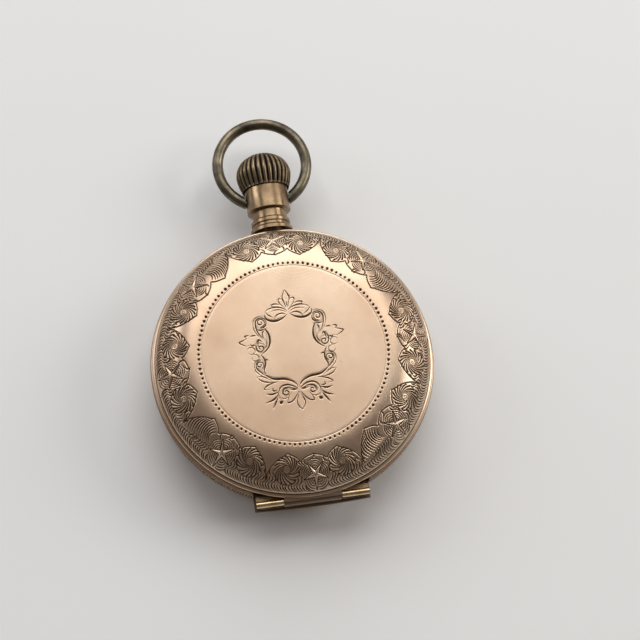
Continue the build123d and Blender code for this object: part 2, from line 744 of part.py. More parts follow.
def balance_cock():
    """The bridge over the balance, on a single foot."""
    arm = bar(COCK_FOOT, BALANCE, 5.0, COCK_LEVEL) + disc(2.9, *COCK_LEVEL, BALANCE)
    foot = disc(2.4, COCK_LEVEL[1], PLATE_LOW, COCK_FOOT)
    body = arm + foot
    body -= disc(0.5, 2.0, COCK_LEVEL[1] + 0.1, BALANCE)
    for place in cock_screw_places():
        body -= disc(0.55, 2.0, 6.5, place)
    return body


def cock_screw_places():
    """The single screw that holds the balance cock."""
    return (polar(0.3, 200, COCK_FOOT),)


def regulator():
    """The index lever over the cock's jewel."""
    low, high = COCK_LEVEL[0] - 0.35, COCK_LEVEL[0]
    body = ring(1.4, 0.75, low, high, BALANCE)
    tail = polar(1.1, 35, BALANCE)
    return body + bar(tail, polar(4.6, 35, BALANCE), 0.45, (low, high)) - disc(0.75, 2.0, 3.0, BALANCE)


def pallet_bridge():
    """The small bridge over the pallet fork's pivot."""
    foot = polar(3.6, -52, PALLET)
    body = bar(PALLET, foot, 2.0, PALLET_BRIDGE_LEVEL)
    body += disc(1.0, PALLET_BRIDGE_LEVEL[1], PLATE_LOW, foot)
    body -= disc(0.75, 5.0, PALLET_BRIDGE_LEVEL[0] + 0.25, foot)
    return body - disc(0.3, 5.0, 6.0, PALLET) - disc(0.4, 5.0, 7.5, foot)


def pallet_bridge_foot():
    """The place of the pallet bridge's screw."""
    return polar(3.6, -52, PALLET)


def barrel_drum():
    """The toothed mainspring barrel."""
    low, high = DRUM_LEVEL
    radius = 8.9
    body = gear(BARREL_TEETH, BARREL_MODULE, BARREL_TEETH_LEVEL, BARREL)
    body += disc(radius, low, high, BARREL)
    body -= disc(radius - 0.5, low - 1, high - 0.4, BARREL)
    return body - disc(1.0 + HOLE_PLAY, low, high + 1, BARREL)


def barrel_cover():
    """The lid snapped into the open side of the barrel."""
    return ring(8.4, 1.0 + HOLE_PLAY, DRUM_LEVEL[0], DRUM_LEVEL[0] + 0.3, BARREL)


def barrel_arbor():
    """The arbor inside the barrel, round in the plates."""
    body = disc(1.0, 3.3, 9.2, BARREL) + disc(2.2, 5.6, 6.9, BARREL)
    return body - disc(0.4, 2.0, 5.0, BARREL)


def mainspring():
    """The coiled mainspring."""
    return ribbon(2.6, 8.0, 9, 0.2, (5.65, 6.85), BARREL, 15)


def balance_room(shape):
    """A bridge with room cut away around the balance."""
    return shape - disc(BALANCE_ROOM, BRIDGE_LOW - 1, BRIDGE_HIGH + 0.01, BALANCE)


def barrel_bridge():
    """The bridge over the barrel and the crown wheel."""
    levels = (BRIDGE_LOW, BRIDGE_HIGH)
    body = disc(BRIDGE_RADIUS, *levels) & block((-23, 3.0), (-12.5, 23), levels)
    body += disc(CROWN_WHEEL_ROOM, *levels, CROWN_WHEEL) & disc(BRIDGE_RADIUS, *levels)
    body = balance_room(body)
    for place in BARREL_FEET:
        body += disc(1.3, BRIDGE_HIGH, PLATE_LOW, place)
        body -= disc(0.45, BRIDGE_LOW - 1, PLATE_LOW - 1, place)
        body -= disc(SCREW_HEAD, BRIDGE_LOW - 1, BRIDGE_LOW + 0.6, place)
    body -= disc(5.1, BRIDGE_LOW - 1, BRIDGE_HIGH + 1, CROWN_WHEEL)
    body -= disc(1.0 + HOLE_PLAY, BRIDGE_LOW - 1, BRIDGE_HIGH + 1, BARREL)
    body -= disc(0.75, BRIDGE_LOW, BRIDGE_HIGH + 1, CENTER) + disc(0.45, 2, 4.5, CENTER)
    return body - disc(0.4, 2, 4.4, CLICK_PIVOT)


def train_bridge():
    """The bridge over the third, fourth and escape wheels."""
    levels = (BRIDGE_LOW, BRIDGE_HIGH)
    body = disc(BRIDGE_RADIUS, *levels) & block((3.3, 23), (-9.5, 23), levels)
    body -= disc(CROWN_WHEEL_ROOM + 0.15, BRIDGE_LOW - 1, BRIDGE_HIGH + 1, CROWN_WHEEL)
    body = balance_room(body)
    for place in TRAIN_FEET:
        body += disc(1.3, BRIDGE_HIGH, PLATE_LOW, place)
        body -= disc(0.45, BRIDGE_LOW - 1, PLATE_LOW - 1, place)
        body -= disc(SCREW_HEAD, BRIDGE_LOW - 1, BRIDGE_LOW + 0.6, place)
    for place in (THIRD, FOURTH, ESCAPE):
        body -= disc(0.8, BRIDGE_LOW - 1, 4.9, place) + disc(0.3, 4, BRIDGE_HIGH + 1, place)
    return body


def ratchet_wheel():
    """The wheel on the barrel arbor that winds the mainspring."""
    phase = meshed(CROWN_WHEEL_TEETH, 0.0, RATCHET_TEETH, bearing(CROWN_WHEEL, BARREL))
    return gear(RATCHET_TEETH, WINDING_MODULE, SPUR_LEVEL, BARREL, phase, 0.45)


def crown_wheel():
    """The winding wheel with a second ring of teeth that meets the winding pinion."""
    outer, inner = CONTRATE_RADIUS + 0.25, CONTRATE_RADIUS - 0.35
    root, tip = STEM_Z - WINDING_PITCH - 0.35, STEM_Z - WINDING_PITCH + 0.14
    body = gear(CROWN_WHEEL_TEETH, WINDING_MODULE, SPUR_LEVEL, CROWN_WHEEL, 0.0, 1.25)
    body += ring(outer, inner, SPUR_LEVEL[1], root, CROWN_WHEEL)
    pitch = 360 / CONTRATE_TEETH
    for tooth in range(CONTRATE_TEETH):
        angle = 90 + (tooth + 0.5) * pitch
        x, y = polar((outer + inner) / 2, angle, CROWN_WHEEL)
        place = Pos(x, y, (root + tip) / 2 - 0.05) * Rot(0, 0, angle)
        body += place * Box(outer - inner - 0.08, 0.2, tip - root + 0.1)
    return body


def ratchet_screw():
    """The screw that holds the ratchet wheel on the barrel arbor."""
    low = SPUR_LEVEL[0]
    return disc(1.3, low - 0.45, low, BARREL) + disc(0.4, low, 4.6, BARREL)


def crown_wheel_screw():
    """The shouldered screw in the middle of the crown wheel."""
    low = SPUR_LEVEL[0]
    head = disc(2.0, low - 0.45, low - 0.05, CROWN_WHEEL)
    return head + disc(1.2, low - 0.05, BRIDGE_LOW - 0.2, CROWN_WHEEL)


CLICK_PIVOT = polar(10.6, 250, BARREL)


def click():
    """The pawl of the ratchet wheel."""
    tip = polar(8.75, 268, BARREL)
    body = disc(1.1, *SPUR_LEVEL, CLICK_PIVOT)
    body += bar(CLICK_PIVOT, tip, 0.7, SPUR_LEVEL)
    return body - disc(0.35 + HOLE_PLAY, 2.0, 4.0, CLICK_PIVOT)


def click_screw():
    """The screw that the click turns on."""
    low = SPUR_LEVEL[0]
    return disc(0.9, low - 0.4, low - 0.05, CLICK_PIVOT) + disc(0.35, low - 0.05, 4.4, CLICK_PIVOT)


def click_spring():
    """The curved spring behind the click."""
    start, end = polar(12.1, 238, BARREL), polar(12.7, 268, BARREL)
    body = bar(start, end, 0.35, (2.8, 3.2))
    return body + disc(0.9, 2.8, BRIDGE_LOW, end)


def winding_pinion():
    """The pinion on the winding arbor that drives the crown wheel."""
    leaves = gear(WINDING_LEAVES, 2 * WINDING_PITCH / WINDING_LEAVES, (0, 0.8), (0, 0), 90.0, 0.7)
    return Pos(0, CONTRATE_Y - 0.4, STEM_Z) * Rot(-90, 0, 0) * leaves


def winding_arbor():
    """The short arbor that takes the stem's square end."""
    body = rod_y(0.7, (15.2, 20.5), STEM_Z) + rod_y(1.3, (19.6, 24.0), STEM_Z)
    hole = 0.55
    return body - block((-hole, hole), (20.3, 25), (STEM_Z - hole, STEM_Z + hole))


def cannon_pinion():
    """The pinion under the minute hand that drives the motion works."""
    body = gear(CANNON_TEETH, CANNON_MODULE, (9.65, 10.3), CENTER, 0.0)
    return body + disc(0.62, 9.65, 12.35) - disc(0.4, 9, 13)


def minute_wheel():
    """The wheel and leaves between the cannon pinion and the hour wheel."""
    phase = meshed(CANNON_TEETH, 0.0, MINUTE_TEETH, bearing(CENTER, MINUTE_WHEEL))
    body = gear(MINUTE_TEETH, CANNON_MODULE, (9.75, 10.0), MINUTE_WHEEL, phase)
    body += gear(MINUTE_LEAVES, HOUR_MODULE, (10.0, 10.8), MINUTE_WHEEL, 0.0)
    return body + disc(0.35, 9.1, 9.75, MINUTE_WHEEL)


def hour_wheel():
    """The wheel that turns once in twelve hours, with the tube of the hour hand."""
    phase = meshed(MINUTE_LEAVES, 0.0, HOUR_TEETH, bearing(MINUTE_WHEEL, CENTER))
    body = gear(HOUR_TEETH, HOUR_MODULE, (10.45, 10.7), CENTER, phase)
    return body + disc(1.05, 10.45, 12.05) - disc(0.67, 10, 13)


def jewels():
    """The rings of ruby in the bridges and the plate."""
    stones = []
    for place in (THIRD, FOURTH, ESCAPE):
        stones.append(ring(0.8, 0.25, 4.3, 4.8, place))
    for place in (THIRD, ESCAPE, PALLET, BALANCE):
        stones.append(ring(0.6, 0.25, PLATE_LOW, PLATE_LOW + 0.4, place))
    stones.append(ring(0.5, 0.2, COCK_LEVEL[0] + 0.1, COCK_LEVEL[1] - 0.1, BALANCE))
    return stones


def headed_screw(at, low, head, thread, end, radius=0.4):
    """A cheese-head screw with its slot, head downwards."""
    slot = block((-2, 2), (-0.12, 0.12), (-0.01, 0.15))
    body = disc(head, 0, thread - low) + disc(radius, thread - low, end - low) - slot
    return Pos(at[0], at[1], low) * body


def bridge_screws():
    """The screws of the bridges and the cock."""
    head = SCREW_HEAD - 0.05
    low = BRIDGE_LOW
    screws = [headed_screw(place, low, head, low + 0.6, 7.2) for place in BARREL_FEET + TRAIN_FEET]
    for place in cock_screw_places():
        screws.append(headed_screw(place, COCK_LEVEL[0] - 0.5, 0.95, COCK_LEVEL[0], 6.0))
    foot = pallet_bridge_foot()
    low = PALLET_BRIDGE_LEVEL[0]
    screws.append(headed_screw(foot, low - 0.1, 0.7, low + 0.25, 7.3, 0.35))
    return screws


def case_screws():
    """The screws that hold the movement in the case band."""
    return [headed_screw(place, 7.3, 1.2, PLATE_LOW, PLATE_LOW + 0.85, 0.8) for place in CASE_SCREWS]


def hinge_pin(radius, half, y, z):
    """A hinge pin along X."""
    return rod_x(radius, (-half, half), y, z)


HOUR_HAND_ANGLE = 180 - (10 + 9 / 60) * 30
MINUTE_HAND_ANGLE = 180 - 9 * 6

PARTS = {
    "front_lid": front_lid(),
    "back_lid": back_lid(),
    "case_band": case_band(),
    "case_joint": case_joint(),
    "cuvette": cuvette(),
    "bezel": bezel(),
    "crystal": crystal(),
    "pendant": pendant(),
    "pendant_sleeve": pendant_sleeve(),
    "bow": bow(),
    "crown": crown(),
    "stem": stem(),
    "front_hinge_pin": hinge_pin(PIN_RADIUS, JOINT_HALF - 0.4, HINGE_Y, FRONT_HINGE_Z),
    "back_hinge_pin": hinge_pin(PIN_RADIUS, JOINT_HALF - 0.4, HINGE_Y, BACK_HINGE_Z),
    "cuvette_hinge_pin": hinge_pin(CUVETTE_PIN, 3.8, CUVETTE_HINGE_Y, CUVETTE_HINGE_Z),
    "lift_spring": case_spring(108, 160),
    "lock_spring": case_spring(72, 24),
    "main_plate": main_plate(),
    "dial": dial(),
    "hour_hand": hand(12.6, 2.6, (1.1, 0.4), (11.9, 12.04), CENTER, HOUR_HAND_ANGLE, 1.5, 1.05),
    "minute_hand": hand(18.2, 3.2, (0.8, 0.3), (12.35, 12.47), CENTER, MINUTE_HAND_ANGLE, 1.1, 0.4),
    "second_hand": hand(4.8, 1.6, (0.16, 0.08), (11.6, 11.7), FOURTH, 40, 0.45, 0.2),
    "hour_wheel": hour_wheel(),
    "minute_wheel": minute_wheel(),
    "cannon_pinion": cannon_pinion(),
    "center_wheel": center_wheel(),
    "third_wheel": third_wheel(),
    "fourth_wheel": fourth_wheel(),
    "escape_wheel": escape_wheel(),
    "pallet_fork": pallet_fork(),
    "pallet_stones": [stone(-1), stone(1)],
    "pallet_bridge": pallet_bridge(),
    "balance_wheel": balance_wheel(),
    "balance_screws": balance_screws(),
    "balance_staff": balance_staff(),
    "roller_table": roller_table(),
    "hairspring": hairspring(),
    "hairspring_stud": hairspring_stud(),
    "balance_cock": balance_cock(),
    "regulator": regulator(),
    "barrel_drum": barrel_drum(),
    "barrel_cover": barrel_cover(),
    "barrel_arbor": barrel_arbor(),
    "mainspring": mainspring(),
    "barrel_bridge": barrel_bridge(),
    "train_bridge": train_bridge(),
    "ratchet_wheel": ratchet_wheel(),
    "crown_wheel": crown_wheel(),
    "ratchet_screw": ratchet_screw(),
    "crown_wheel_screw": crown_wheel_screw(),
    "click": click(),
    "click_screw": click_screw(),
    "click_spring": click_spring(),
    "winding_pinion": winding_pinion(),
    "winding_arbor": winding_arbor(),
    "jewels": jewels(),
    "bridge_screws": bridge_screws(),
    "case_screws": case_screws(),
}

os.makedirs("parts", exist_ok=True)
for name, shape in PARTS.items():
    solids = shape if isinstance(shape, list) else [shape]
    solids = [solid for piece in solids for solid in piece.solids()]
    export_step(Compound(solids), f"parts/{name}.step")
    print(name, len(solids))
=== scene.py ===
import json
import math

import bmesh
import bpy
import numpy as np
from mathutils import Matrix, Vector


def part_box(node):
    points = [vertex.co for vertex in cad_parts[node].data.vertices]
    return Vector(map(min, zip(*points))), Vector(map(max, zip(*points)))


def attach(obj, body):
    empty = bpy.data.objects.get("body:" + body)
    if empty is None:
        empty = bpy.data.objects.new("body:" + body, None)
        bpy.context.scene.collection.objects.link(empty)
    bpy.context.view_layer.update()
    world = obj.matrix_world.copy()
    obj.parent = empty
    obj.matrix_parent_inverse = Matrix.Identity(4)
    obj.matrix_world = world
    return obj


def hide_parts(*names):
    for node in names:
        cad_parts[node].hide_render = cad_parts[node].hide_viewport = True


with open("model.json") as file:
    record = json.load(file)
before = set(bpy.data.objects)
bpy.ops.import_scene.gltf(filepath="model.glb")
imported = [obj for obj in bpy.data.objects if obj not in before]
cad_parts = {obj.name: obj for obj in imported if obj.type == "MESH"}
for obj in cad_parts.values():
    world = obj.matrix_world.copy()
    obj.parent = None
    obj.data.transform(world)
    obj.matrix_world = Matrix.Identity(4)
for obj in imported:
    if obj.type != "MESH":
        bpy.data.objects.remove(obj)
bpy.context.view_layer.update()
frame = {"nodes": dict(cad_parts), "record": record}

MM = 0.001
rng = np.random.default_rng(18)

# ---- sizes read from the frame
lid_high, back_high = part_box("front_lid")[1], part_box("back_lid")[1]
crown_low, crown_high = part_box("crown")
FRONT_TOP = lid_high[2] / MM
FRONT_RIM = lid_high[0] / MM
BACK_RIM = back_high[0] / MM
BACK_TOP = back_high[2] / MM
STEM_Z = (crown_low[2] + crown_high[2]) / 2 / MM

# The lid's profile, as in the CAD model, millimetres.
FLAT_RADIUS = 18.2
ARC_RADIUS = 10.5
LID_WALL = 0.5
RIM_BOTTOM = 10.4
WALL_RADIUS = FRONT_RIM - 0.6
BACK_WALL = BACK_RIM - 0.2
BACK_FULLNESS = 0.85

# Both hinges lie along X; their places are the joints' own, as Y and Z.
JOINTS = {row["name"]: row for row in frame["record"]["behaviour"]["joints"]}
FRONT_HINGE, BACK_HINGE = (np.array(JOINTS[name]["pos_m"][1:]) / MM
                           for name in ("front_lid_hinge", "back_lid_hinge"))
KNUCKLE = 0.65
BORE = 0.35
LUG_HALF = 5.6
HINGE_HALF = 11.3
HINGE_FLOOR = BACK_HINGE[1] - KNUCKLE - 0.1
# Painted shade: the hinge knuckles, the front leaf and the back ledge are tinted dark, as if in shade below
# the bead.
FRONT_PAINTED_SHADE, BACK_PAINTED_SHADE, LEDGE_PAINTED_SHADE = 0.75, 0.6, 0.72
PENDANT_GAP = 2.75

# ---- engraving on a polar grid
FULL_HALF_WIDTH = 0.11  # a cut this wide to each side has its full depth
TINT_GAIN = 2.2  # how fast a cut darkens from its edge
MOAT_DEPTH = 0.16
STAR_EDGE_DEPTH = 0.06
STAR_EDGE_TINT = 0.3
NEAR_AXIS = 0.4  # the least radius that turns are measured at
WIDE_TURN = 2.5  # from this turn on, whole rings are used


class Field:
    """Cut depth, raised height and tint over rings of evenly turned points, in millimetres."""

    def __init__(self, radii, count):
        self.radii = np.asarray(radii, float)
        self.count = count
        self.angles = np.arange(count) * 2 * np.pi / count
        shape = (len(self.radii), count)
        self.cut = np.zeros(shape)
        self.raised = np.zeros(shape)
        self.tint = np.zeros(shape)
        self.x = self.radii[:, None] * np.cos(self.angles)[None, :]
        self.y = self.radii[:, None] * np.sin(self.angles)[None, :]

    def window(self, points, margin):
        """The part of the grid that covers some points and a margin."""
        points = np.atleast_2d(points)
        reach = np.hypot(points[:, 0], points[:, 1])
        first, last = np.searchsorted(self.radii, (reach.min() - margin, reach.max() + margin))
        turns = np.arctan2(points[:, 1], points[:, 0])
        spread = (turns - turns[0] + np.pi) % (2 * np.pi) - np.pi
        extra = margin / max(reach.min() - margin, NEAR_AXIS)
        low = int(np.floor((turns[0] + spread.min() - extra) / (2 * np.pi) * self.count))
        high = int(np.ceil((turns[0] + spread.max() + extra) / (2 * np.pi) * self.count))
        if extra > WIDE_TURN or high - low >= self.count:
            low, high = 0, self.count - 1
        return np.ix_(np.arange(first, last), np.arange(low, high + 1) % self.count)

    def deepen(self, grid, cut, tint):
        """Keeps the deeper cut and the darker tint at each point."""
        self.cut[grid] = np.maximum(self.cut[grid], cut)
        self.tint[grid] = np.maximum(self.tint[grid], tint)

    def stroke(self, path, widths, depth, tint=1.0):
        """A V-shaped cut along a path, as wide at each point as given; thin cuts are shallower."""
        path = np.asarray(path, float)
        widths = np.broadcast_to(np.asarray(widths, float), (len(path),))
        for a, b, wa, wb in zip(path, path[1:], widths, widths[1:]):
            grid = self.window([a, b], max(wa, wb))
            x, y = self.x[grid], self.y[grid]
            run = b - a
            square = max(float(run @ run), 1e-9)
            along = np.clip(((x - a[0]) * run[0] + (y - a[1]) * run[1]) / square, 0, 1)
            away = np.hypot(x - a[0] - along * run[0], y - a[1] - along * run[1])
            half = np.maximum((wa + (wb - wa) * along) / 2, 1e-3)
            fill = np.clip(1 - away / half, 0, 1)
            scale = np.minimum(1, half / FULL_HALF_WIDTH)
            self.deepen(grid, depth * scale * fill**0.8, tint * np.clip(TINT_GAIN * fill, 0, 1))

    def dot(self, centre, radius, depth):
        """A round punched dimple."""
        grid = self.window([centre], radius * 1.3)
        away = np.hypot(self.x[grid] - centre[0], self.y[grid] - centre[1]) / radius
        fill = np.clip(1 - away**2, 0, 1)
        self.deepen(grid, depth * fill, np.clip(TINT_GAIN * fill, 0, 1))

    def turn_over(self):
        """Mirrors the engraving and puts its outer ring first."""
        self.radii = self.radii[::-1]
        self.cut, self.raised, self.tint = (
            layer[::-1, ::-1] for layer in (self.cut, self.raised, self.tint))

    def star(self, centre, radius, turn, height, moat=0.16, notch_share=0.23):
        """A raised five-ray star, each ray with a ridge down its middle, in a dark moat."""
        grid = self.window([centre], radius * 1.1)
        dx, dy = self.x[grid] - centre[0], self.y[grid] - centre[1]
        reach = np.hypot(dx, dy)
        fifth = 2 * np.pi / 5
        ray = np.abs((np.arctan2(dy, dx) - turn + fifth / 2) % fifth - fifth / 2)
        across, along = reach * np.sin(ray), reach * np.cos(ray)
        notch = notch_share * radius
        rise = (radius - along) / (radius - notch * np.cos(fifth / 2))
        width = np.clip(rise, 0, 1.2) * notch * np.sin(fifth / 2)
        ridge = np.clip(1 - across / np.maximum(width, 1e-6), 0, 1)
        inside = (across < width) & (along < radius)
        beside = (across < width + moat) & (along < radius + moat) & ~inside
        self.raised[grid] = np.maximum(self.raised[grid], np.where(inside, height * ridge, 0))
        cut, tint = (np.where(beside, value, layer[grid])
                     for value, layer in ((MOAT_DEPTH, self.cut), (1.0, self.tint)))
        self.cut[grid] = np.where(inside, STAR_EDGE_DEPTH * (1 - ridge), cut)
        self.tint[grid] = np.where(inside, STAR_EDGE_TINT * (1 - ridge), tint)


def smooth_path(points, step=0.25):
    """A Catmull-Rom curve through some points."""
    points = np.asarray(points, float)
    padded = np.vstack([2 * points[0] - points[1], points, 2 * points[-1] - points[-2]])
    out = [points[0]]
    for p0, p1, p2, p3 in zip(padded, padded[1:], padded[2:], padded[3:]):
        parts = max(2, int(np.linalg.norm(p2 - p1) / step))
        for t in np.arange(1, parts + 1) / parts:
            out.append(0.5 * (2 * p1 + (p2 - p0) * t + (2 * p0 - 5 * p1 + 4 * p2 - p3) * t**2
                              + (3 * p1 - p0 - 3 * p2 + p3) * t**3))
    return np.array(out)


def tapered(count, width, start=0.35, end=0.1):
    """Widths that swell in the middle and thin towards both ends."""
    part = np.linspace(0, 1, count)
    rise = np.clip(part / 0.35, 0, 1)
    fall = np.clip((1 - part) / 0.5, 0, 1)
    return width * (start + (1 - start) * rise) * (end + (1 - end) * fall)


def swept(centre, reach, angle):
    """Points at some distances and angles from a centre."""
    return np.stack([centre[0] + reach * np.cos(angle), centre[1] + reach * np.sin(angle)], 1)


def spiral_path(centre, inner, outer, turns, start, sense):
    """An opening spiral about a centre."""
    part = np.linspace(0, 1, int(turns * 16) + 2)
    return swept(centre, inner + (outer - inner) * part, start + sense * 2 * np.pi * turns * part)


def polar_point(radius, degrees):
    turn = math.radians(degrees)
    return np.array([radius * math.cos(turn), radius * math.sin(turn)])


# ---- the shield in the middle
def berry(centre, radius, first, last):
    """A small ring, open by a gap."""
    return swept(centre, radius, np.linspace(first, last, 11))


# Half of the scrollwork, +X side, as X and Y after one another in millimetres from the lid's axis:
# (width, dark, points).
SHIELD = (
    # leaf cluster at the top
    (0.26, 1, (0, 12.9, 0.35, 12.3, 0.65, 11.6, 0.68, 11.2, 0.5, 10.5, 0.3, 9.8, 0.12, 9)),
    (0.22, 0.9, (0.62, 10.95, 1.1, 11.12, 1.42, 11.15, 1.6, 10.85, 1.42, 10.3, 1, 9.7, 0.4, 9.1)),
    (0.22, 0.9, (1.35, 9.85, 2, 10.15, 2.7, 10.12, 3, 9.95, 2.72, 9.62, 2.3, 9.62)),
    (0.24, 1, (0.1, 8.6, 0.7, 9.1, 1.6, 9.45, 2.6, 9.55, 3.7, 9.3, 4.35, 8.75, 4.6, 8.2)),
    (0.5, 1, (4.6, 8.2, 4.5, 7.6, 4, 7.15, 3.2, 6.85, 2.2, 6.85, 1.3, 7.15, 0.6, 7.6, 0.2, 7.95)),
    (0.18, 0.7, (0.3, 8.25, 1.1, 8.7, 2, 8.9, 3, 8.75, 3.8, 8.3)),
    (0.24, 0.9, (0.5, 7.95, 1.3, 8.2, 2, 8.05, 2.5, 7.7, 2.75, 7.25, 2.6, 7)),
    (0.2, 0.8, (4.35, 8.75, 4, 8.25, 3.4, 7.75, 2.8, 7.3)),
    (0.15, 0.6, (0.05, 9, 0.02, 9.9, 0, 10.7)),
    # upper scroll: two rails and a volute
    (0.2, 0.8, (4.5, 7.75, 5.1, 8.05, 5.9, 8, 6.7, 7.6, 7.1, 6.8, 7.1, 5.8, 6.8, 4.9, 6.3, 4.1, 5.6, 3.3,
                5, 2.7)),
    (0.34, 1, (4.5, 6.9, 4.9, 7.55, 5.6, 7.75, 6.35, 7.4, 6.65, 6.7, 6.6, 5.7, 6.35, 4.8, 5.9, 4, 5.3,
                3.4, 4.8, 2.9)),
    (0.34, 1, (4.5, 6.9, 4.55, 6.4, 4.9, 5.9, 5.5, 5.68, 6.1, 5.8)),
    (0.3, 1, (5.1, 5.2, 5.5, 4.7, 5.55, 4.1, 5.3, 3.6)),
    (0.26, 0.9, (4.9, 5.5, 5.4, 5.3, 6, 5.3, 6.4, 5.6)),
    (0.52, 0.9, (4.95, 5.35, 4.5, 4.6, 4.3, 3.6, 4.35, 2.6, 4.7, 1.7, 5.3, 1, 6, 0.5, 6.4, 0.1)),
    # middle scroll
    (0.24, 0.9, (6.55, 3.5, 7, 2.7, 7.12, 1.9, 6.9, 1.2, 6.3, 0.85, 5.6, 1)),
    (0.3, 1, (5.9, 2.9, 6.3, 3.4, 6.6, 2.8, 6.65, 2.1, 6.4, 1.6)),
    (0.24, 0.9, (4.8, 2.9, 4.95, 2.2, 5.3, 1.6, 5.6, 1.2)),
    # side leaf and two berries
    (0.24, 1, (6.8, 4.3, 7.5, 4.38, 8.1, 4.15)),
    (0.26, 1, (8.2, 4.5, 8.75, 4.5, 9, 4.2, 8.6, 3.95)),
    (0.22, 0.9, (8.6, 3.95, 9.3, 3.65, 10.2, 3.3, 9.5, 2.75, 8.8, 2.42, 8.1, 2.6)),
    (0.26, 1, (8.1, 2.6, 7.75, 2.22, 7.35, 2.45, 7.2, 2.1)),
    (0.2, 0.8, berry((8.1, 1.3), 0.74, 0.3, 6.3)),
    (0.2, 0.8, berry((7.5, -0.12), 0.68, 0.9, 7.0)),
    # lower scroll
    (0.2, 0.8, (6, -0.6, 6.9, -0.55, 7.6, -0.9, 7.95, -1.8, 7.8, -2.8, 7.2, -3.6, 6.4, -4.2, 5.5, -4.6)),
    (0.3, 1, (6.5, -0.8, 7.2, -0.95, 7.55, -1.6, 7.45, -2.4, 6.9, -3.1, 6.3, -3.7, 5.6, -4.2)),
    (0.44, 0.9, (6.3, 0.1, 5.85, -0.7, 5.8, -1.6, 6.1, -2.5, 6.25, -3.3, 5.8, -4)),
    (0.26, 1, (5.1, -1, 5.5, -0.75, 5.75, -1.1)),
    # heavy sweep below the field
    (0.5, 1, (6, -3.9, 4.9, -4.7, 3.9, -4.95, 2.7, -5.05, 1.7, -5.4, 0.8, -5.9, 0.3, -6.5, 0.1, -7.1)),
    (0.2, 0.8, (7.7, -4.05, 7, -4, 6.3, -4.3, 5.5, -4.85, 4.9, -5.2)),
    (0.22, 0.9, (7.7, -4.05, 7.2, -4.75, 6.4, -5.2, 5.4, -5.45, 4.3, -5.4)),
    # lower leaf and spray
    (0.24, 1, (3.9, -5.5, 5.2, -5.7, 6.1, -6.1, 6.7, -6.65, 6, -6.85, 5.3, -6.75)),
    (0.3, 1, (5, -6.6, 5.1, -7.05, 4.7, -7.2, 4.1, -7.05)),
    (0.36, 1, (4.3, -7.55, 5.4, -7.85, 6.6, -7.6)),
    (0.36, 1, (4.3, -8.2, 5.3, -9, 6.8, -9.45)),
    (0.36, 1, (4.35, -8.7, 5, -9.8, 5.7, -10.9)),
    # bottom scroll
    (0.32, 1, (0.3, -7.2, 1.1, -6.6, 2.1, -6.25, 3.1, -6.35, 3.8, -6.95, 4.1, -7.9, 3.85, -8.7)),
    (0.24, 0.9, (0.5, -7.5, 1.3, -7.05, 2.2, -6.85, 3, -7.05, 3.4, -7.7, 3.15, -8.45, 2.5, -8.75)),
    (0.4, 1, (0.4, -7.4, 1.2, -7.35, 1.9, -7.15)),
    (0.24, 1, (0.25, -7.9, 0.9, -8.9, 1.7, -9.7, 2.6, -9.9, 2.4, -9.1, 2, -8.4, 1.5, -7.8)),
    (0.18, 0.7, (2.3, -8.9, 3.1, -9.1, 3.9, -8.75)),
    (0.75, 1, (3.6, -9.55, 3.9, -9.72, 4.2, -9.85)),
    # middle leaf at the foot
    (0.24, 1, (0, -11.6, 0.5, -11, 0.8, -10.1, 0.6, -9.2, 0.25, -8.4, 0.05, -7.8)),
)
# Volutes: centre, inner and outer radius, turns, start angle.
VOLUTES = (
    ((5.6, 6.8), 0.22, 0.95, 1.35, 2.6),
    ((6.2, 1.65), 0.2, 0.85, 1.3, -1.2),
    ((6.85, -1.7), 0.2, 0.8, 1.3, 2.4),
    ((2.55, -7.8), 0.22, 0.85, 1.3, 0.4),
)
SHIELD_DEPTH, SHADE_DEPTH, SHADE_TINT = 0.15, 0.02, 0.4
# Darkened ground between the scrolls: width, points.
SHADES = (
    (0.75, (4.7, 5.4, 4.75, 4.4, 4.75, 3.4, 4.95, 2.5)),
    (0.5, (6.35, 6.1, 6.1, 5.3, 5.6, 5.6, 5, 5.8)),
    (0.55, (6.7, 3.3, 6.75, 2.7, 6.3, 2.6, 5.7, 2.4, 5.4, 1.8)),
    (0.6, (7.1, -2.4, 6.7, -3, 6.2, -3.5)),
    (0.45, (6.15, -0.9, 6.1, -1.8, 6.4, -2.7)),
    (0.5, (4.4, 7.5, 3.8, 7.15, 2.6, 6.95, 1.4, 7.2)),
    (0.6, (5.6, -4.2, 4.3, -4.7, 2.8, -4.85, 1.5, -5.3, 0.5, -6.3)),
    (0.45, (0.9, -7.5, 1.8, -7.3, 2.6, -7.25, 3.1, -7.7)),
    (0.45, (3.6, -9.2, 4.2, -8.6, 4.3, -7.6)),
)


def cut_shield(field):
    """Both halves of the shield: ground tints, tapered strokes and volutes."""
    for side in (1, -1):
        flip = np.array([side, 1.0])
        for width, points in SHADES:
            path = smooth_path(np.reshape(points, (-1, 2)) * flip)
            field.stroke(path, width, SHADE_DEPTH, SHADE_TINT)
        for width, dark, points in SHIELD:
            path = smooth_path(np.reshape(points, (-1, 2)) * flip) + rng.normal(0, 0.03, 2)
            field.stroke(path, tapered(len(path), 1.05 * width), SHIELD_DEPTH, 0.95 * dark)
        for centre, inner, outer, turns, start in VOLUTES:
            path = spiral_path(centre, inner, outer, turns, start, 1) * flip
            field.stroke(path, tapered(len(path), 0.26, 0.6, 0.5), SHIELD_DEPTH, 0.92)


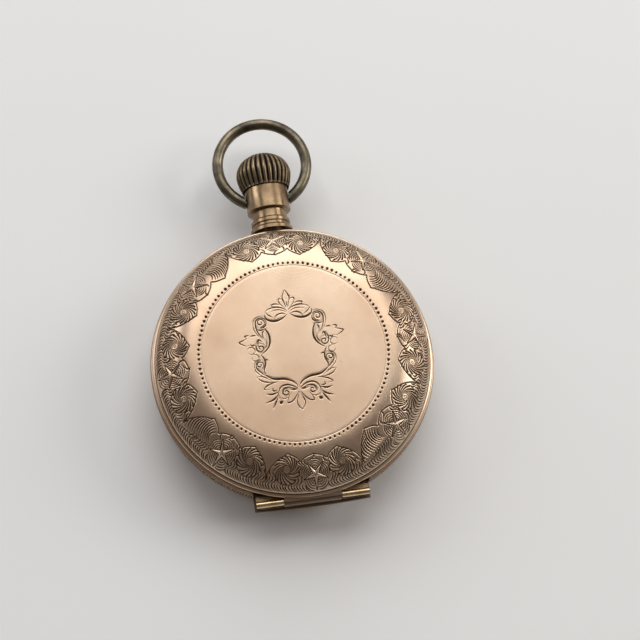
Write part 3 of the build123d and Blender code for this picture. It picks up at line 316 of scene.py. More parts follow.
# ---- the engraved border
GROUPS = 8
GROUP_TURN = 360 / GROUPS
PENDANT_AT = 92.0
CUSP_RADIUS = 20.2
DIP_RADIUS = 22.0
VALLEY_RADIUS = 25.2
HALF_GROUP = GROUP_TURN / 2
CUSPS = ((-HALF_GROUP, VALLEY_RADIUS), (-13.6, CUSP_RADIUS), (-6.8, DIP_RADIUS), (0.0, CUSP_RADIUS + 0.2),
         (6.8, DIP_RADIUS), (13.6, CUSP_RADIUS), (HALF_GROUP, VALLEY_RADIUS))
ROSETTE_TURN, ROSETTE_AT, ROSETTE_SIZE = 13.5, 23.1, 2.45
STAR_AT, STAR_SIZE, STAR_REACH = 24.1, 2.7, 2.35
STAR_ARCS = (0.95, 1.35, 1.75, 2.15, 2.55)
LEAF_START, LEAF_TURN = 7.4, 13.4
GROUND_TINT = 0.2
SPOKE_DEPTH, ARC_DEPTH, LEAF_DEPTH, EDGE_DEPTH, HATCH_DEPTH, FINE_DEPTH = 0.17, 0.14, 0.17, 0.16, 0.16, 0.1
HATCH_START, HATCH_ROW, HATCH_SPACING, HATCH_LENGTH = 20.9, 1.05, 0.56, 1.2


def lobe(part):
    """How far a scallop's edge has come in, from its dip at 0 to its cusp at 1."""
    part = np.clip(part, 0, 1)
    return 0.87 * np.sin(part * np.pi / 2) ** 0.5 + 0.13 * part**6


def edge_radius(turn):
    """The scalloped inner edge of the border at a turn from a group's middle, in degrees."""
    turn = np.asarray(turn, float)
    out = np.full(turn.shape, VALLEY_RADIUS)
    for (t0, r0), (t1, r1) in zip(CUSPS, CUSPS[1:]):
        here = (turn >= t0) & (turn <= t1)
        part = (turn - t0) / (t1 - t0)
        dip, cusp, part = (r0, r1, part) if r0 > r1 else (r1, r0, 1 - part)
        out = np.where(here, dip + (cusp - dip) * lobe(part), out)
    return out


def group_turn(x, y):
    """Turn in degrees, clockwise, from the middle of the group that a point is in."""
    angle = PENDANT_AT - np.degrees(np.arctan2(y, x))
    return angle - np.round(angle / GROUP_TURN) * GROUP_TURN


def at(number, turn, radius):
    return polar_point(radius, PENDANT_AT - number * GROUP_TURN - turn)


def rosette(field, centre, size, sense, spokes=17, eye=0.6, swirl=1.15):
    """Spokes that swirl out of a small volute and widen as they go."""
    field.stroke(spiral_path(centre, 0.1, 0.42, 1.2, rng.uniform(0, 6), sense), 0.16, FINE_DEPTH, 0.7)
    for spoke in range(spokes):
        start = 2 * np.pi * (spoke + rng.uniform(-0.1, 0.1)) / spokes
        reach = np.linspace(eye, size - 0.05, 9)
        path = swept(centre, reach, start + sense * swirl * np.log(reach / eye))
        field.stroke(path, 0.155 * reach + 0.03, SPOKE_DEPTH)


def star_group(field, centre, outward):
    """A star with nested arcs between its rays."""
    first = outward + rng.uniform(-0.12, 0.12)
    for ray in range(5):
        gap = first + 2 * np.pi * (ray + 0.5) / 5
        for reach in STAR_ARCS:
            swing = np.linspace(-1, 1, 7)
            bulge = reach + 0.18 * (1 - swing**2) + 0.1 * swing
            path = swept(centre, bulge, gap + (0.5 - 0.12 / reach) * swing)
            field.stroke(path, tapered(7, 0.24, 0.6, 0.6), ARC_DEPTH)
    field.star(centre, STAR_REACH, first, 0.15)


def leaf_span(turn):
    """Where a leaf's strokes start at the outline and where they end at its spine."""
    return float(edge_radius(np.array(turn))) + 0.4, 24.2 + 0.085 * (abs(turn) - 7)


def leaf_fan(field, number, sense, count=12):
    """A row of curved strokes across a pointed leaf, from its outline to its spine."""
    for part in np.linspace(0, 1, count):
        turn = sense * (LEAF_START + LEAF_TURN * part)
        inner, outer = leaf_span(turn)
        swing = np.linspace(-1, 1, 8)
        reach = (inner + outer) / 2 + swing * (outer - inner) / 2
        lean = sense * (2.4 * (1 - swing**2) * (1 - 0.5 * part) - 0.8 * swing)
        path = [at(number, turn + bend, place) for bend, place in zip(lean, reach)]
        field.stroke(path, tapered(8, 0.38), LEAF_DEPTH)
    spine = [at(number, sense * turn, leaf_span(turn)[1] + 0.2) for turn in np.linspace(6.8, 22, 7)]
    field.stroke(smooth_path(spine), 0.2, 0.12)


def cut_flowers(field):
    """Outline, rosettes, leaves and stars; gives the round areas that they take up."""
    busy = []
    for group in range(GROUPS):
        turns = np.linspace(-HALF_GROUP, HALF_GROUP, 91)
        outline = np.array([at(group, t, r) for t, r in zip(turns, edge_radius(turns))])
        field.stroke(outline, 0.26, EDGE_DEPTH)
        for side in (-1, 1):
            if side == 1 and group % 2:
                leaf_fan(field, group, side)
                for turn in np.arange(7.5, 22, 1.5):
                    inner, outer = leaf_span(turn)
                    busy.append((at(group, turn, (inner + outer) / 2), (outer - inner) / 2 + 0.1))
                continue
            centre = at(group, side * ROSETTE_TURN, ROSETTE_AT)
            rosette(field, centre, ROSETTE_SIZE, side)
            busy.append((centre, ROSETTE_SIZE + 0.05))
            reach, start = ROSETTE_SIZE + 0.12, math.atan2(centre[1], centre[0]) - 1.2
            field.stroke(spiral_path(centre, reach, reach, 0.42, start, 1), 0.18, FINE_DEPTH)
        centre = at(group, 0.0, STAR_AT)
        star_group(field, centre, math.atan2(centre[1], centre[0]))
        busy.append((centre, STAR_SIZE + 0.05))
    return busy


def cut_border(field, rim):
    """The whole border: tinted ground, flowers and the hatching that fills the rest."""
    edge = edge_radius(group_turn(field.x, field.y))
    inside = np.hypot(field.x, field.y) > edge + 0.1
    field.tint = np.maximum(field.tint, np.where(inside, GROUND_TINT, 0.0))
    busy = cut_flowers(field)
    centres, sizes = (np.array(column) for column in zip(*busy))
    part = np.linspace(-0.5, 0.5, 5)
    for row, radius in enumerate(np.arange(HATCH_START, rim - 0.15, HATCH_ROW)):
        count = int(2 * np.pi * radius / HATCH_SPACING)
        lean = 1 if row % 2 else -1
        for step in range(count):
            angle = 2 * np.pi * (step + 0.5 * (row % 2) + rng.uniform(-0.15, 0.15)) / count
            middle = polar_point(radius, math.degrees(angle))
            if radius < float(edge_radius(group_turn(*middle))) + 0.35:
                continue
            if (np.hypot(*(centres - middle).T) < sizes).any():
                continue
            length = HATCH_LENGTH + rng.uniform(-0.1, 0.15)
            swing = angle + lean * (0.7 * part + 1.5 * part**2) * length / radius
            path = swept((0, 0), radius + part * length, swing)
            field.stroke(path, tapered(5, 0.36), HATCH_DEPTH)


def cut_dots(field, radius=18.4, count=118, size=0.3):
    """The ring of punched dots."""
    for step in range(count):
        shift = rng.normal(0, 0.03)
        field.dot(polar_point(radius + shift, step * 360 / count), size * rng.uniform(0.85, 1.1), 0.16)


def cut_ring_line(field, radius=17.86, width=0.07):
    """The fine line inside the dots: a stroke with a soft shade over it."""
    ring = [polar_point(radius - 0.01, angle) for angle in np.linspace(0, 360, 361)]
    field.stroke(ring, 0.14, 0.03, 0.25)
    line = np.exp(-(((field.radii - radius) / width) ** 2))[:, None]
    field.cut += 0.02 * line
    field.tint = np.maximum(field.tint, 0.42 * line)


# ---- turned meshes
def placed(name, data):
    """A new object in the scene."""
    thing = bpy.data.objects.new(name, data)
    bpy.context.scene.collection.objects.link(thing)
    return thing


class Shell:
    """A closed mesh of rings, joined where the number of points halves or doubles."""

    def __init__(self):
        self.points, self.faces, self.tints, self.masks = [], [], [], []
        self.total = 0
        self.last = None

    def store(self, points, tint=0.0, mask=0.0):
        """Keeps some points and gives the index of the first."""
        count = len(points)
        self.points.append(points)
        self.tints.append(np.broadcast_to(tint, (count,)))
        self.masks.append(np.broadcast_to(mask, (count,)))
        self.total += count
        return self.total - count

    def add(self, x, y, z, tint=0.0, mask=0.0):
        """Adds one ring and joins it to the ring before."""
        count = len(x)
        start = self.store(np.stack([x, y, np.broadcast_to(z, (count,))], 1), tint, mask)
        if self.last is not None:
            self.join(*self.last, start, count)
        self.last = (start, count)

    def join(self, old, old_count, new, new_count):
        """Joins two rings of points, of which one may have twice as many as the other."""
        count = min(old_count, new_count)
        i = np.arange(count)
        j = (i + 1) % count
        if old_count == new_count:
            self.faces.append(np.stack([old + i, new + i, new + j, old + j], 1))
            return
        few, many = (old, new) if old_count < new_count else (new, old)
        k, m, n = 2 * i, 2 * i + 1, (2 * i + 2) % (2 * count)
        for corners in ((few + i, many + k, many + m), (few + i, many + m, few + j),
                        (few + j, many + m, many + n)):
            self.faces.append(np.stack(corners if few == old else corners[::-1], 1))

    def cap(self, z, at_start):
        """Closes the first or last ring with a middle point."""
        start, count = (0, len(self.points[0])) if at_start else self.last
        middle = self.store(np.array([[0.0, 0.0, z]]))
        i = np.arange(count)
        j = (i + 1) % count
        fan = [start + i, start + j] if at_start else [start + j, start + i]
        self.faces.append(np.stack([np.full(count, middle), *fan], 1))

    def build(self, name, weld=False):
        """Makes the object, in metres; weld joins points that meet."""
        points = np.vstack(self.points)
        mesh = bpy.data.meshes.new(name)
        sizes = np.concatenate([np.full(len(f), f.shape[1]) for f in self.faces])
        loops = np.concatenate([f.ravel() for f in self.faces])
        mesh.vertices.add(len(points))
        mesh.vertices.foreach_set("co", (points * MM).ravel())
        mesh.loops.add(len(loops))
        mesh.loops.foreach_set("vertex_index", loops.astype(np.int32))
        mesh.polygons.add(len(sizes))
        starts = np.concatenate([[0], np.cumsum(sizes)[:-1]])
        mesh.polygons.foreach_set("loop_start", starts.astype(np.int32))
        mesh.update(calc_edges=True)
        mesh.validate()
        mesh.shade_smooth()
        for label, values in (("cut", self.tints), ("worn", self.masks)):
            layer = mesh.attributes.new(label, "FLOAT", "POINT")
            layer.data.foreach_set("value", np.concatenate(values).astype(np.float32))
        if weld:
            work = bmesh.new()
            work.from_mesh(mesh)
            bmesh.ops.remove_doubles(work, verts=work.verts, dist=1e-7)
            work.to_mesh(mesh)
            work.free()
        return placed(name, mesh)


def turned(shell, profile, count, tint=0.0):
    """Plain rings from a list of radius and height."""
    angles = np.arange(count) * 2 * np.pi / count
    for radius, z in profile:
        shell.add(radius * np.cos(angles), radius * np.sin(angles), z, tint)


def arc_z(radius, arc):
    """Height of the front lid's face, domed beyond the flat."""
    over = np.clip(radius - FLAT_RADIUS, 0, None)
    return FRONT_TOP - ARC_RADIUS + np.sqrt(arc**2 - over**2)


FINE = 2
COARSE, MEDIUM, DENSE = 240 * FINE, 480 * FINE, 960 * FINE
RING_STEP = 0.17 / FINE
SHIELD_REACH = 13.3
PLAIN_RINGS = (13.5, 14.5, 15.5, 16.5, 17.3)
BEAD_MIDDLE, BEAD_REACH, BEAD_HALF = WALL_RADIUS + 0.19, 0.41, 0.4


def emit(shell, field, surface):
    """Adds a field's rings, moved along the surface's normal by the cuts and raised parts."""
    cos, sin = np.cos(field.angles), np.sin(field.angles)
    for row, place in enumerate(field.radii):
        lift = field.raised[row] - field.cut[row]
        radius, z, out, up = surface(place)
        reach = radius + lift * out
        shell.add(reach * cos, reach * sin, z + lift * up, field.tint[row], field.raised[row] * 2)


def front_face(radius):
    """Radius, height and outward normal of the front lid's face."""
    slope = max(radius - FLAT_RADIUS, 0) / ARC_RADIUS
    return radius, float(arc_z(radius, ARC_RADIUS)), slope, math.sqrt(1 - slope**2)


def scratch(field, count=16):
    """A few fine scratches and nicks from use."""
    for _ in range(count):
        start = rng.uniform(-9, 9, 2)
        turn, length = rng.uniform(0, np.pi), rng.uniform(0.3, 2.2)
        end = start + polar_point(length, math.degrees(turn))
        field.stroke(np.linspace(start, end, 5), tapered(5, 0.12), 0.03, 0.4)


def front_engraving():
    """The shield's field, and the field from there to the rim."""
    inner = Field(np.arange(0.25, SHIELD_REACH, RING_STEP), MEDIUM)
    cut_shield(inner)
    scratch(inner)
    dotted = np.arange(17.7, 19.1, RING_STEP)
    outer = Field(np.concatenate([PLAIN_RINGS, dotted, np.arange(19.3, WALL_RADIUS, RING_STEP)]), DENSE)
    cut_dots(outer)
    cut_ring_line(outer)
    cut_border(outer, WALL_RADIUS)
    outer.cut *= np.clip((WALL_RADIUS - 0.05 - outer.radii) / 0.2, 0, 1)[:, None]
    return inner, outer


def front_lid():
    """The front cover: shield, dotted ring, engraved border, bead and inner face."""
    shell = Shell()
    for field in front_engraving():
        emit(shell, field, front_face)
    bead = RIM_BOTTOM + BEAD_HALF
    last_z = front_face(WALL_RADIUS)[1]
    turned(shell, [(WALL_RADIUS + 0.02, last_z - 0.1), (WALL_RADIUS + 0.04, bead + 0.5)], DENSE, 0.9)
    turned(shell, [(BEAD_MIDDLE + BEAD_REACH * math.cos(turn), bead + BEAD_HALF * math.sin(turn))
                   for turn in np.radians(np.linspace(80, -70, 9))], DENSE)
    inner_radius = FRONT_RIM - 1.0
    turned(shell, [(inner_radius, RIM_BOTTOM)], MEDIUM)
    turned(shell, [(radius, float(arc_z(radius, ARC_RADIUS - LID_WALL)))
                   for radius in np.linspace(inner_radius, FLAT_RADIUS, 14)], COARSE)
    turned(shell, [(radius, FRONT_TOP - LID_WALL) for radius in (14, 10, 6, 3)], COARSE // 2)
    shell.cap(FRONT_TOP, True)
    shell.cap(FRONT_TOP - LID_WALL, False)
    return shell.build("front_cover")


def bezier(points, t):
    p0, p1, p2, p3 = (np.array(p, float) for p in points)
    return p0 * (1 - t) ** 3 + 3 * p1 * (1 - t) ** 2 * t + 3 * p2 * (1 - t) * t**2 + p3 * t**3


def back_bend(radius, low):
    """Control points of the back lid's rounded wall."""
    turn_z = BACK_TOP - 1.0
    reach, rise = radius - FLAT_RADIUS, turn_z - low
    return ((FLAT_RADIUS, low), (FLAT_RADIUS + BACK_FULLNESS * reach, low),
            (radius, turn_z - BACK_FULLNESS * rise), (radius, turn_z))


def back_face(place):
    """Radius, height and outward normal of the back lid's face, by place from middle to rim."""
    if place <= FLAT_RADIUS:
        return place, 0.0, 0.0, -1.0
    part = (place - FLAT_RADIUS) / (BACK_WALL - FLAT_RADIUS)
    curve = back_bend(BACK_WALL, 0.0)
    here = bezier(curve, part)
    run = bezier(curve, min(1, part + 0.01)) - bezier(curve, max(0, part - 0.01))
    run /= np.linalg.norm(run)
    return here[0], here[1], run[1], -run[0]


def back_limit(x, y):
    """The height at which the back lid's wall ends, lower at the hinge and the pendant."""
    limit = np.where((np.abs(x) < HINGE_HALF) & (y < 0), HINGE_FLOOR, np.inf)
    gap = np.sqrt(np.clip(PENDANT_GAP**2 - x**2, 0, None))
    return np.where((np.abs(x) < PENDANT_GAP) & (y > 0), STEM_Z - gap, limit)


def back_engraving():
    """The same border, mirrored for the back and darkened up its wall by painted shade."""
    border = Field(np.arange(19.2, BACK_WALL - 0.1, 0.2 / FINE), DENSE)
    cut_border(border, BACK_WALL - 0.1)
    # Painted shade: the tint rises up the back lid's rounded wall, as if it were in shade.
    border.tint = np.maximum(border.tint, 0.5 * np.clip((border.radii - 24) / 2, 0, 1)[:, None])
    border.turn_over()
    return border


def trim_back(shell, wall):
    """Cuts the wall down at the hinge and round the pendant."""
    for ring in shell.points:
        limit = back_limit(ring[:, 0], ring[:, 1])
        over = ring[:, 2] > limit
        reach = np.hypot(ring[over, 0], ring[over, 1])
        ring[over, :2] *= (np.clip(reach, wall - 0.05, BACK_WALL - 0.05) / reach)[:, None]
        ring[over, 2] = limit[over]


def back_lid():
    """The back cover: a deep engraved dish, cut down at the hinge and round the pendant."""
    shell = Shell()
    wall = BACK_WALL - LID_WALL - 0.1
    lip = BACK_WALL - 0.1
    turned(shell, [(radius, LID_WALL) for radius in (3, 7, 11, 15)], COARSE // 2)
    turned(shell, [tuple(bezier(back_bend(wall, LID_WALL), part)) for part in np.linspace(0, 1, 14)],
           COARSE)
    turned(shell, [(wall, BACK_TOP - 0.6)], MEDIUM)
    turned(shell, [(wall, BACK_TOP - 0.1), (wall + 0.1, BACK_TOP), (lip, BACK_TOP)], DENSE)
    turned(shell, [(lip + 0.3 * math.cos(turn), BACK_TOP - 0.5 + 0.5 * math.sin(turn))
                   for turn in np.radians(np.linspace(60, -60, 7))], DENSE, 0.6)
    emit(shell, back_engraving(), back_face)
    turned(shell, [back_face(radius)[:2] for radius in (18.6, FLAT_RADIUS)], MEDIUM)
    turned(shell, [(radius, 0.0) for radius in (15, 11, 7, 3)], COARSE)
    shell.cap(LID_WALL, True)
    shell.cap(0.0, False)
    trim_back(shell, wall)
    return shell.build("back_cover", weld=True)


def crown_shape():
    """The crown's outer profile, radius and place along its axis, from its end to its lip."""
    start, end = crown_low[1] / MM, crown_high[1] / MM
    widest = (crown_high[0] - crown_low[0]) / 2 / MM
    points = [(0.9, end - 0.15), (1.6, end), (2.5, end - 0.12), (4.0, end - 1.0), (5.0, end - 2.2),
              (widest, start + 3.5), (5.25, start + 1.5), (4.78, start + 0.1), (4.75, start)]
    return smooth_path(points, 0.16)


def crown(flutes=30, depth=0.55, bore=4.5, hollow=1.2, hole=2.2):
    """The fluted onion crown, hollow below, made upright and laid along Y."""
    shell = Shell()
    start = crown_low[1] / MM
    angles = np.arange(flutes * 16) * 2 * np.pi / (flutes * 16)
    groove = 1 - np.abs(np.sin(angles * flutes / 2)) ** 0.75
    cos, sin = np.cos(angles), np.sin(angles)
    for radius, height in crown_shape():
        strength = np.clip((radius - 2.1) / 1.2, 0, 1) * np.clip((height - start + 0.1) / 0.5, 0, 1)
        reach = radius - depth * strength * groove
        tint = np.clip(1.7 * groove * strength, 0, 1)
        shell.add(reach * cos, reach * sin, height, tint)
    floor = start + hollow
    inside = [(bore, start), (bore, start + hollow / 2), (bore, floor), (hole, floor)]
    turned(shell, inside, len(angles), 0.6)
    shell.cap(crown_high[1] / MM - 0.2, True)
    shell.cap(floor, False)
    shell.points = [np.stack([x, z, STEM_Z - y], 1) for x, y, z in (ring.T for ring in shell.points)]
    return shell.build("crown_cap")


def lug(name, outline, centre, tint):
    """A hinge knuckle: an outline in Y and Z, pierced round its centre, extruded along X."""
    outline = np.array(outline)
    inner = centre + (outline - centre) / np.linalg.norm(outline - centre, axis=1)[:, None] * BORE
    count = len(outline)
    points = [(x, y, z) for loop in (outline, inner) for x in (-LUG_HALF, LUG_HALF) for y, z in loop]
    turns = [(i, (i + 1) % count) for i in range(count)]
    faces = [(a * count + i, b * count + i, b * count + j, a * count + j)
             for a, b in ((0, 1), (1, 3), (3, 2), (2, 0)) for i, j in turns]
    return plain_mesh(name, points, faces, tint)


def prism(name, outline, low, high, tint):
    """A flat piece with an outline in X and Y."""
    count = len(outline)
    points = [(x, y, z) for z in (low, high) for x, y in outline]
    faces = [tuple(range(count))[::-1], tuple(range(count, 2 * count))]
    faces += [(i, (i + 1) % count, count + (i + 1) % count, count + i) for i in range(count)]
    return plain_mesh(name, points, faces, tint)


def plain_mesh(name, points, faces, tint=0.0, sharp=math.radians(35)):
    """A mesh from points in millimetres, its faces turned outwards, with sharp edges kept sharp."""
    mesh = bpy.data.meshes.new(name)
    mesh.from_pydata([tuple(MM * value for value in point) for point in points], [], faces)
    work = bmesh.new()
    work.from_mesh(mesh)
    bmesh.ops.recalc_face_normals(work, faces=work.faces)
    for edge in work.edges:
        edge.smooth = len(edge.link_faces) == 2 and edge.calc_face_angle(0) < sharp
    for face in work.faces:
        face.smooth = True
    work.to_mesh(mesh)
    work.free()
    mesh.attributes.new("cut", "FLOAT", "POINT").data.foreach_set("value", [tint] * len(mesh.vertices))
    return placed(name, mesh)


def arc(centre, radius, first, last, count):
    """Points along an arc, angles in degrees."""
    return swept(centre, radius, np.radians(np.linspace(first, last, count)))


def front_lug():
    """The front cover's middle knuckle and its neck, up to the leaf."""
    near, far = 0.45, 0.3
    first = math.degrees(math.acos(near / KNUCKLE))
    last = -180 - math.degrees(math.acos(far / KNUCKLE))
    y, top = FRONT_HINGE[0], RIM_BOTTOM + 0.02
    outline = [(y + near, top), *arc(FRONT_HINGE, KNUCKLE, first, last, 40), (y - far, top)]
    return lug("front_knuckle", outline, FRONT_HINGE, FRONT_PAINTED_SHADE)


def front_leaf(corner=0.25):
    """The flat leaf between the front cover's rim and its knuckle."""
    far, near = FRONT_HINGE[0] - 0.3, FRONT_HINGE[0] + 1.0
    outline = [(LUG_HALF, near), (-LUG_HALF, near),
               *arc((corner - LUG_HALF, far + corner), corner, 180, 270, 6),
               *arc((LUG_HALF - corner, far + corner), corner, 270, 360, 6)]
    return prism("front_leaf", outline, RIM_BOTTOM, RIM_BOTTOM + 0.45, FRONT_PAINTED_SHADE)


def back_lug():
    """The back cover's middle knuckle and its foot."""
    y, low = BACK_HINGE[0], HINGE_FLOOR - 0.1
    outline = [*arc(BACK_HINGE, KNUCKLE, -22, 202, 40), (y - 0.6, low), (y + 0.6, low)]
    return lug("back_knuckle", outline, BACK_HINGE, BACK_PAINTED_SHADE)


def back_ledge(lip=1.1, bow=0.35):
    """The shelf on the back cover that carries its knuckle, with a lip past the hinge."""
    xs = np.linspace(-HINGE_HALF, HINGE_HALF, 33)
    outer = [(x, BACK_HINGE[0] - lip + bow * (x / HINGE_HALF) ** 2) for x in xs]
    inner = [(x, -math.sqrt((BACK_WALL - 1.1) ** 2 - x * x)) for x in xs[::-1]]
    return prism("back_ledge", outer + inner, HINGE_FLOOR - 0.75, HINGE_FLOOR - 0.01, LEDGE_PAINTED_SHADE)


# ---- node materials
class Nodes:
    """Short calls for building a node material."""

    def __init__(self, name):
        self.material = bpy.data.materials.new(name)
        self.material.use_nodes = True
        self.tree = self.material.node_tree
        self.shader = self.tree.nodes["Principled BSDF"]
        self.place = self.new("TexCoord").outputs["Object"]

    def new(self, kind, **settings):
        """A node of a kind, with its inputs set or linked by name."""
        node = self.tree.nodes.new("ShaderNode" + kind)
        for name, value in settings.items():
            self.feed(node.inputs[name], value)
        return node

    def feed(self, socket, value):
        """Links an output to a socket, or sets the socket's own number, vector or colour."""
        if isinstance(value, bpy.types.NodeSocket):
            self.tree.links.new(value, socket)
        elif isinstance(value, tuple) and socket.type == "RGBA":
            socket.default_value = (*value, 1)
        else:
            socket.default_value = value

    def axes(self):
        node = self.new("SeparateXYZ", Vector=self.place)
        return [node.outputs[axis] for axis in "XYZ"]

    def noise(self, scale, detail=4.0, rough=0.5, stretch=None):
        place = self.place
        if stretch is not None:
            place = self.new("Mapping", Vector=place, Scale=stretch).outputs["Vector"]
        node = self.new("TexNoise", Vector=place, Scale=scale, Detail=detail, Roughness=rough)
        return node.outputs["Fac"]

    def ramp(self, source, stops):
        node = self.new("ValToRGB", Fac=source)
        elements = node.color_ramp.elements
        while len(elements) < len(stops):
            elements.new(0.5)
        for element, (where, colour) in zip(elements, stops):
            element.position = where
            element.color = (*colour, 1)
        return node.outputs["Color"]

    def grey(self, source, stops):
        return self.ramp(source, [(where, (value,) * 3) for where, value in stops])

    def math(self, operation, *values):
        node = self.new("Math")
        node.operation = operation
        for socket, value in zip(node.inputs, values):
            self.feed(socket, value)
        return node.outputs["Value"]

    def mix(self, factor, a, b):
        node = self.new("Mix")
        node.data_type = "RGBA"
        for name, value, kind in (("Factor", factor, "VALUE"), ("A", a, "RGBA"), ("B", b, "RGBA")):
            self.feed(next(s for s in node.inputs if (s.name, s.type) == (name, kind)), value)
        return next(s for s in node.outputs if s.type == "RGBA")

    def bump(self, height, strength, distance):
        node = self.new("Bump", Height=height, Strength=strength, Distance=distance)
        self.feed(self.shader.inputs["Normal"], node.outputs["Normal"])

    def attribute(self, name):
        node = self.new("Attribute")
        node.attribute_name = name
        return node.outputs["Fac"]

    def finish(self, colour, rough, metal=1.0, **others):
        """Sets the shader; the other inputs' names have _ for a space."""
        others |= {"Base_Color": colour, "Roughness": rough, "Metallic": metal}
        for name, value in others.items():
            self.feed(self.shader.inputs[name.replace("_", " ")], value)
        return self.material


# Colour and roughness that the cut tint leads to: darker down the crown's flutes and inside its hollow.
GROOVE_DARK, GROOVE_ROUGH = (0.02, 0.013, 0.008), (0.7, 0.7, 0.7)


def worn_metal(name, base, dark, light, rough, grime, scratches=0.4):
    """A polished metal with cloudy tarnish, fine scratches and small pits."""
    n = Nodes(name)
    cloud = n.noise(260, 6, 0.6)
    broad = n.noise(70, 3)
    scratch = n.noise(900, 3, 0.6, (1, 9, 1))
    colour = n.ramp(cloud, [(0.3, dark), (0.48, base), (0.72, light)])
    colour = n.mix(n.grey(broad, [(0.42, 0), (0.75, grime)]), colour, dark)
    level = n.grey(cloud, [(0.25, min(1, rough + 0.18)), (0.7, max(0.05, rough - 0.08))])
    cut = n.grey(n.attribute("cut"), [(0.1, 0), (0.8, 0.96)])
    colour = n.mix(cut, colour, GROOVE_DARK)
    level = n.mix(cut, level, GROOVE_ROUGH)
    n.bump(n.math("ADD", n.math("MULTIPLY", scratch, scratches), cloud), 0.12, 0.00005)
    return n.finish(colour, level)


def joint_brass(name, seat=0.0093, tube=0.0096):
    """Bright brass on the upper tube; everything below it is darkened as painted shade."""
    n = Nodes(name)
    cloud = n.noise(300, 5, 0.6)
    height = n.math("DIVIDE", n.math("SUBTRACT", n.axes()[2], seat), tube - seat)
    bright = n.ramp(cloud, [(0.3, (0.6, 0.44, 0.24)), (0.7, (0.88, 0.7, 0.44))])
    # Painted shade: the brass below the tube's seat turns dark brown.
    shaded_brass = n.ramp(cloud, [(0.3, (0.05, 0.035, 0.02)), (0.7, (0.2, 0.14, 0.085))])
    n.bump(cloud, 0.15, 0.00005)
    return n.finish(n.mix(height, shaded_brass, bright), n.grey(height, [(0.0, 0.6), (1.0, 0.26)]))


def engraved_metal(name, ring_pitch=0.00029):
    """The lids' pale rose gold: bright where it is rubbed, brown-black in the cuts and where shade is
    painted on the hinge pieces and the back lid's wall.
    """
    n = Nodes(name)
    cloud = n.noise(170, 7, 0.62)
    broad = n.noise(45, 4, 0.55)
    speck = n.noise(1500, 3, 0.6)
    cut, worn = n.attribute("cut"), n.attribute("worn")
    gold = [(0.3, (0.56, 0.39, 0.27)), (0.5, (0.66, 0.495, 0.36)), (0.72, (0.77, 0.625, 0.47))]
    colour = n.ramp(broad, gold)
    for mask, tone in (
        (n.grey(cloud, [(0.5, 0), (0.72, 0.35)]), (0.6, 0.42, 0.31)),
        (n.grey(speck, [(0.66, 0), (0.74, 0.35)]), (0.35, 0.24, 0.17)),
        (n.grey(cut, [(0.02, 0), (0.2, 0.1)]), (0.3, 0.25, 0.2)),
        # Brown-black: patina in the engraved cuts, and painted shade on the hinge pieces and up the back
        # lid's wall.
        (n.grey(cut, [(0.3, 0), (0.85, 0.93)]), (0.055, 0.03, 0.014)),
        (n.grey(worn, [(0.1, 0), (0.7, 0.7)]), (0.86, 0.72, 0.58)),
    ):
        colour = n.mix(mask, colour, tone)
    rough = n.grey(cloud, [(0.25, 0.4), (0.75, 0.27)])
    rough = n.mix(n.grey(cut, [(0.3, 0), (0.85, 1)]), rough, (0.75, 0.75, 0.75))
    x, y, _ = n.axes()
    square = n.math("ADD", n.math("POWER", x, 2.0), n.math("POWER", y, 2.0))
    rings = n.math("SINE", n.math("MULTIPLY", n.math("SQRT", square), 2 * math.pi / ring_pitch))
    swell = n.grey(broad, [(0.35, 0.0), (0.62, 0.5)])
    height = n.math("ADD", n.math("MULTIPLY", rings, swell), cloud)
    n.bump(height, 0.16, 0.00004)
    return n.finish(colour, rough)


def steel(name, base=(0.55, 0.55, 0.56), rough=0.25):
    n = Nodes(name)
    grain = n.noise(1200, 3, 0.6, (1, 14, 1))
    cloud = n.noise(200)
    colour = n.ramp(cloud, [(0.3, tuple(0.75 * c for c in base)), (0.7, base)])
    n.bump(grain, 0.15, 0.00003)
    return n.finish(colour, n.grey(grain, [(0.3, rough + 0.12), (0.7, rough)]))


def striped_gilt(name, stripe_pitch=0.0022):
    """Gilt plates with a frosted grain and damaskeened stripes."""
    n = Nodes(name)
    x, y, _ = n.axes()
    lean = n.math("ADD", n.math("MULTIPLY", x, 0.7), n.math("MULTIPLY", y, 0.7))
    wave = n.math("SINE", n.math("MULTIPLY", lean, 2 * math.pi / stripe_pitch))
    grain = n.noise(2600, 3, 0.6)
    colour = n.mix(wave, (0.72, 0.53, 0.26), (0.86, 0.68, 0.38))
    n.bump(n.math("ADD", grain, n.math("MULTIPLY", wave, 0.5)), 0.15, 0.00003)
    return n.finish(colour, n.grey(grain, [(0.3, 0.42), (0.7, 0.3)]))


def enamel():
    n = Nodes("enamel")
    cloud = n.noise(120)
    colour = n.ramp(cloud, [(0.3, (0.86, 0.84, 0.78)), (0.7, (0.93, 0.92, 0.88))])
    n.bump(cloud, 0.05, 0.0001)
    return n.finish(colour, n.grey(cloud, [(0.3, 0.22), (0.7, 0.14)]), 0.0, Coat_Weight=0.8)


def glass():
    n = Nodes("glass")
    smear = n.noise(90)
    colour = n.ramp(smear, [(0.3, (0.97, 0.98, 0.98)), (0.7, (1, 1, 1))])
    rough = n.grey(smear, [(0.4, 0.0), (0.8, 0.06)])
    return n.finish(colour, rough, 0.0, Transmission_Weight=1.0, IOR=1.5)


def ruby():
    n = Nodes("ruby")
    cloud = n.noise(900, 3)
    colour = n.ramp(cloud, [(0.3, (0.35, 0.01, 0.04)), (0.7, (0.62, 0.04, 0.12))])
    return n.finish(colour, 0.12, 0.0, Transmission_Weight=0.3, Coat_Weight=0.6)


def ink(name, tone):
    n = Nodes(name)
    cloud = n.noise(700, 3)
    colour = n.ramp(cloud, [(0.3, tuple(0.6 * c for c in tone)), (0.7, tone)])
    return n.finish(colour, n.grey(cloud, [(0.3, 0.35), (0.7, 0.25)]), 0.0)


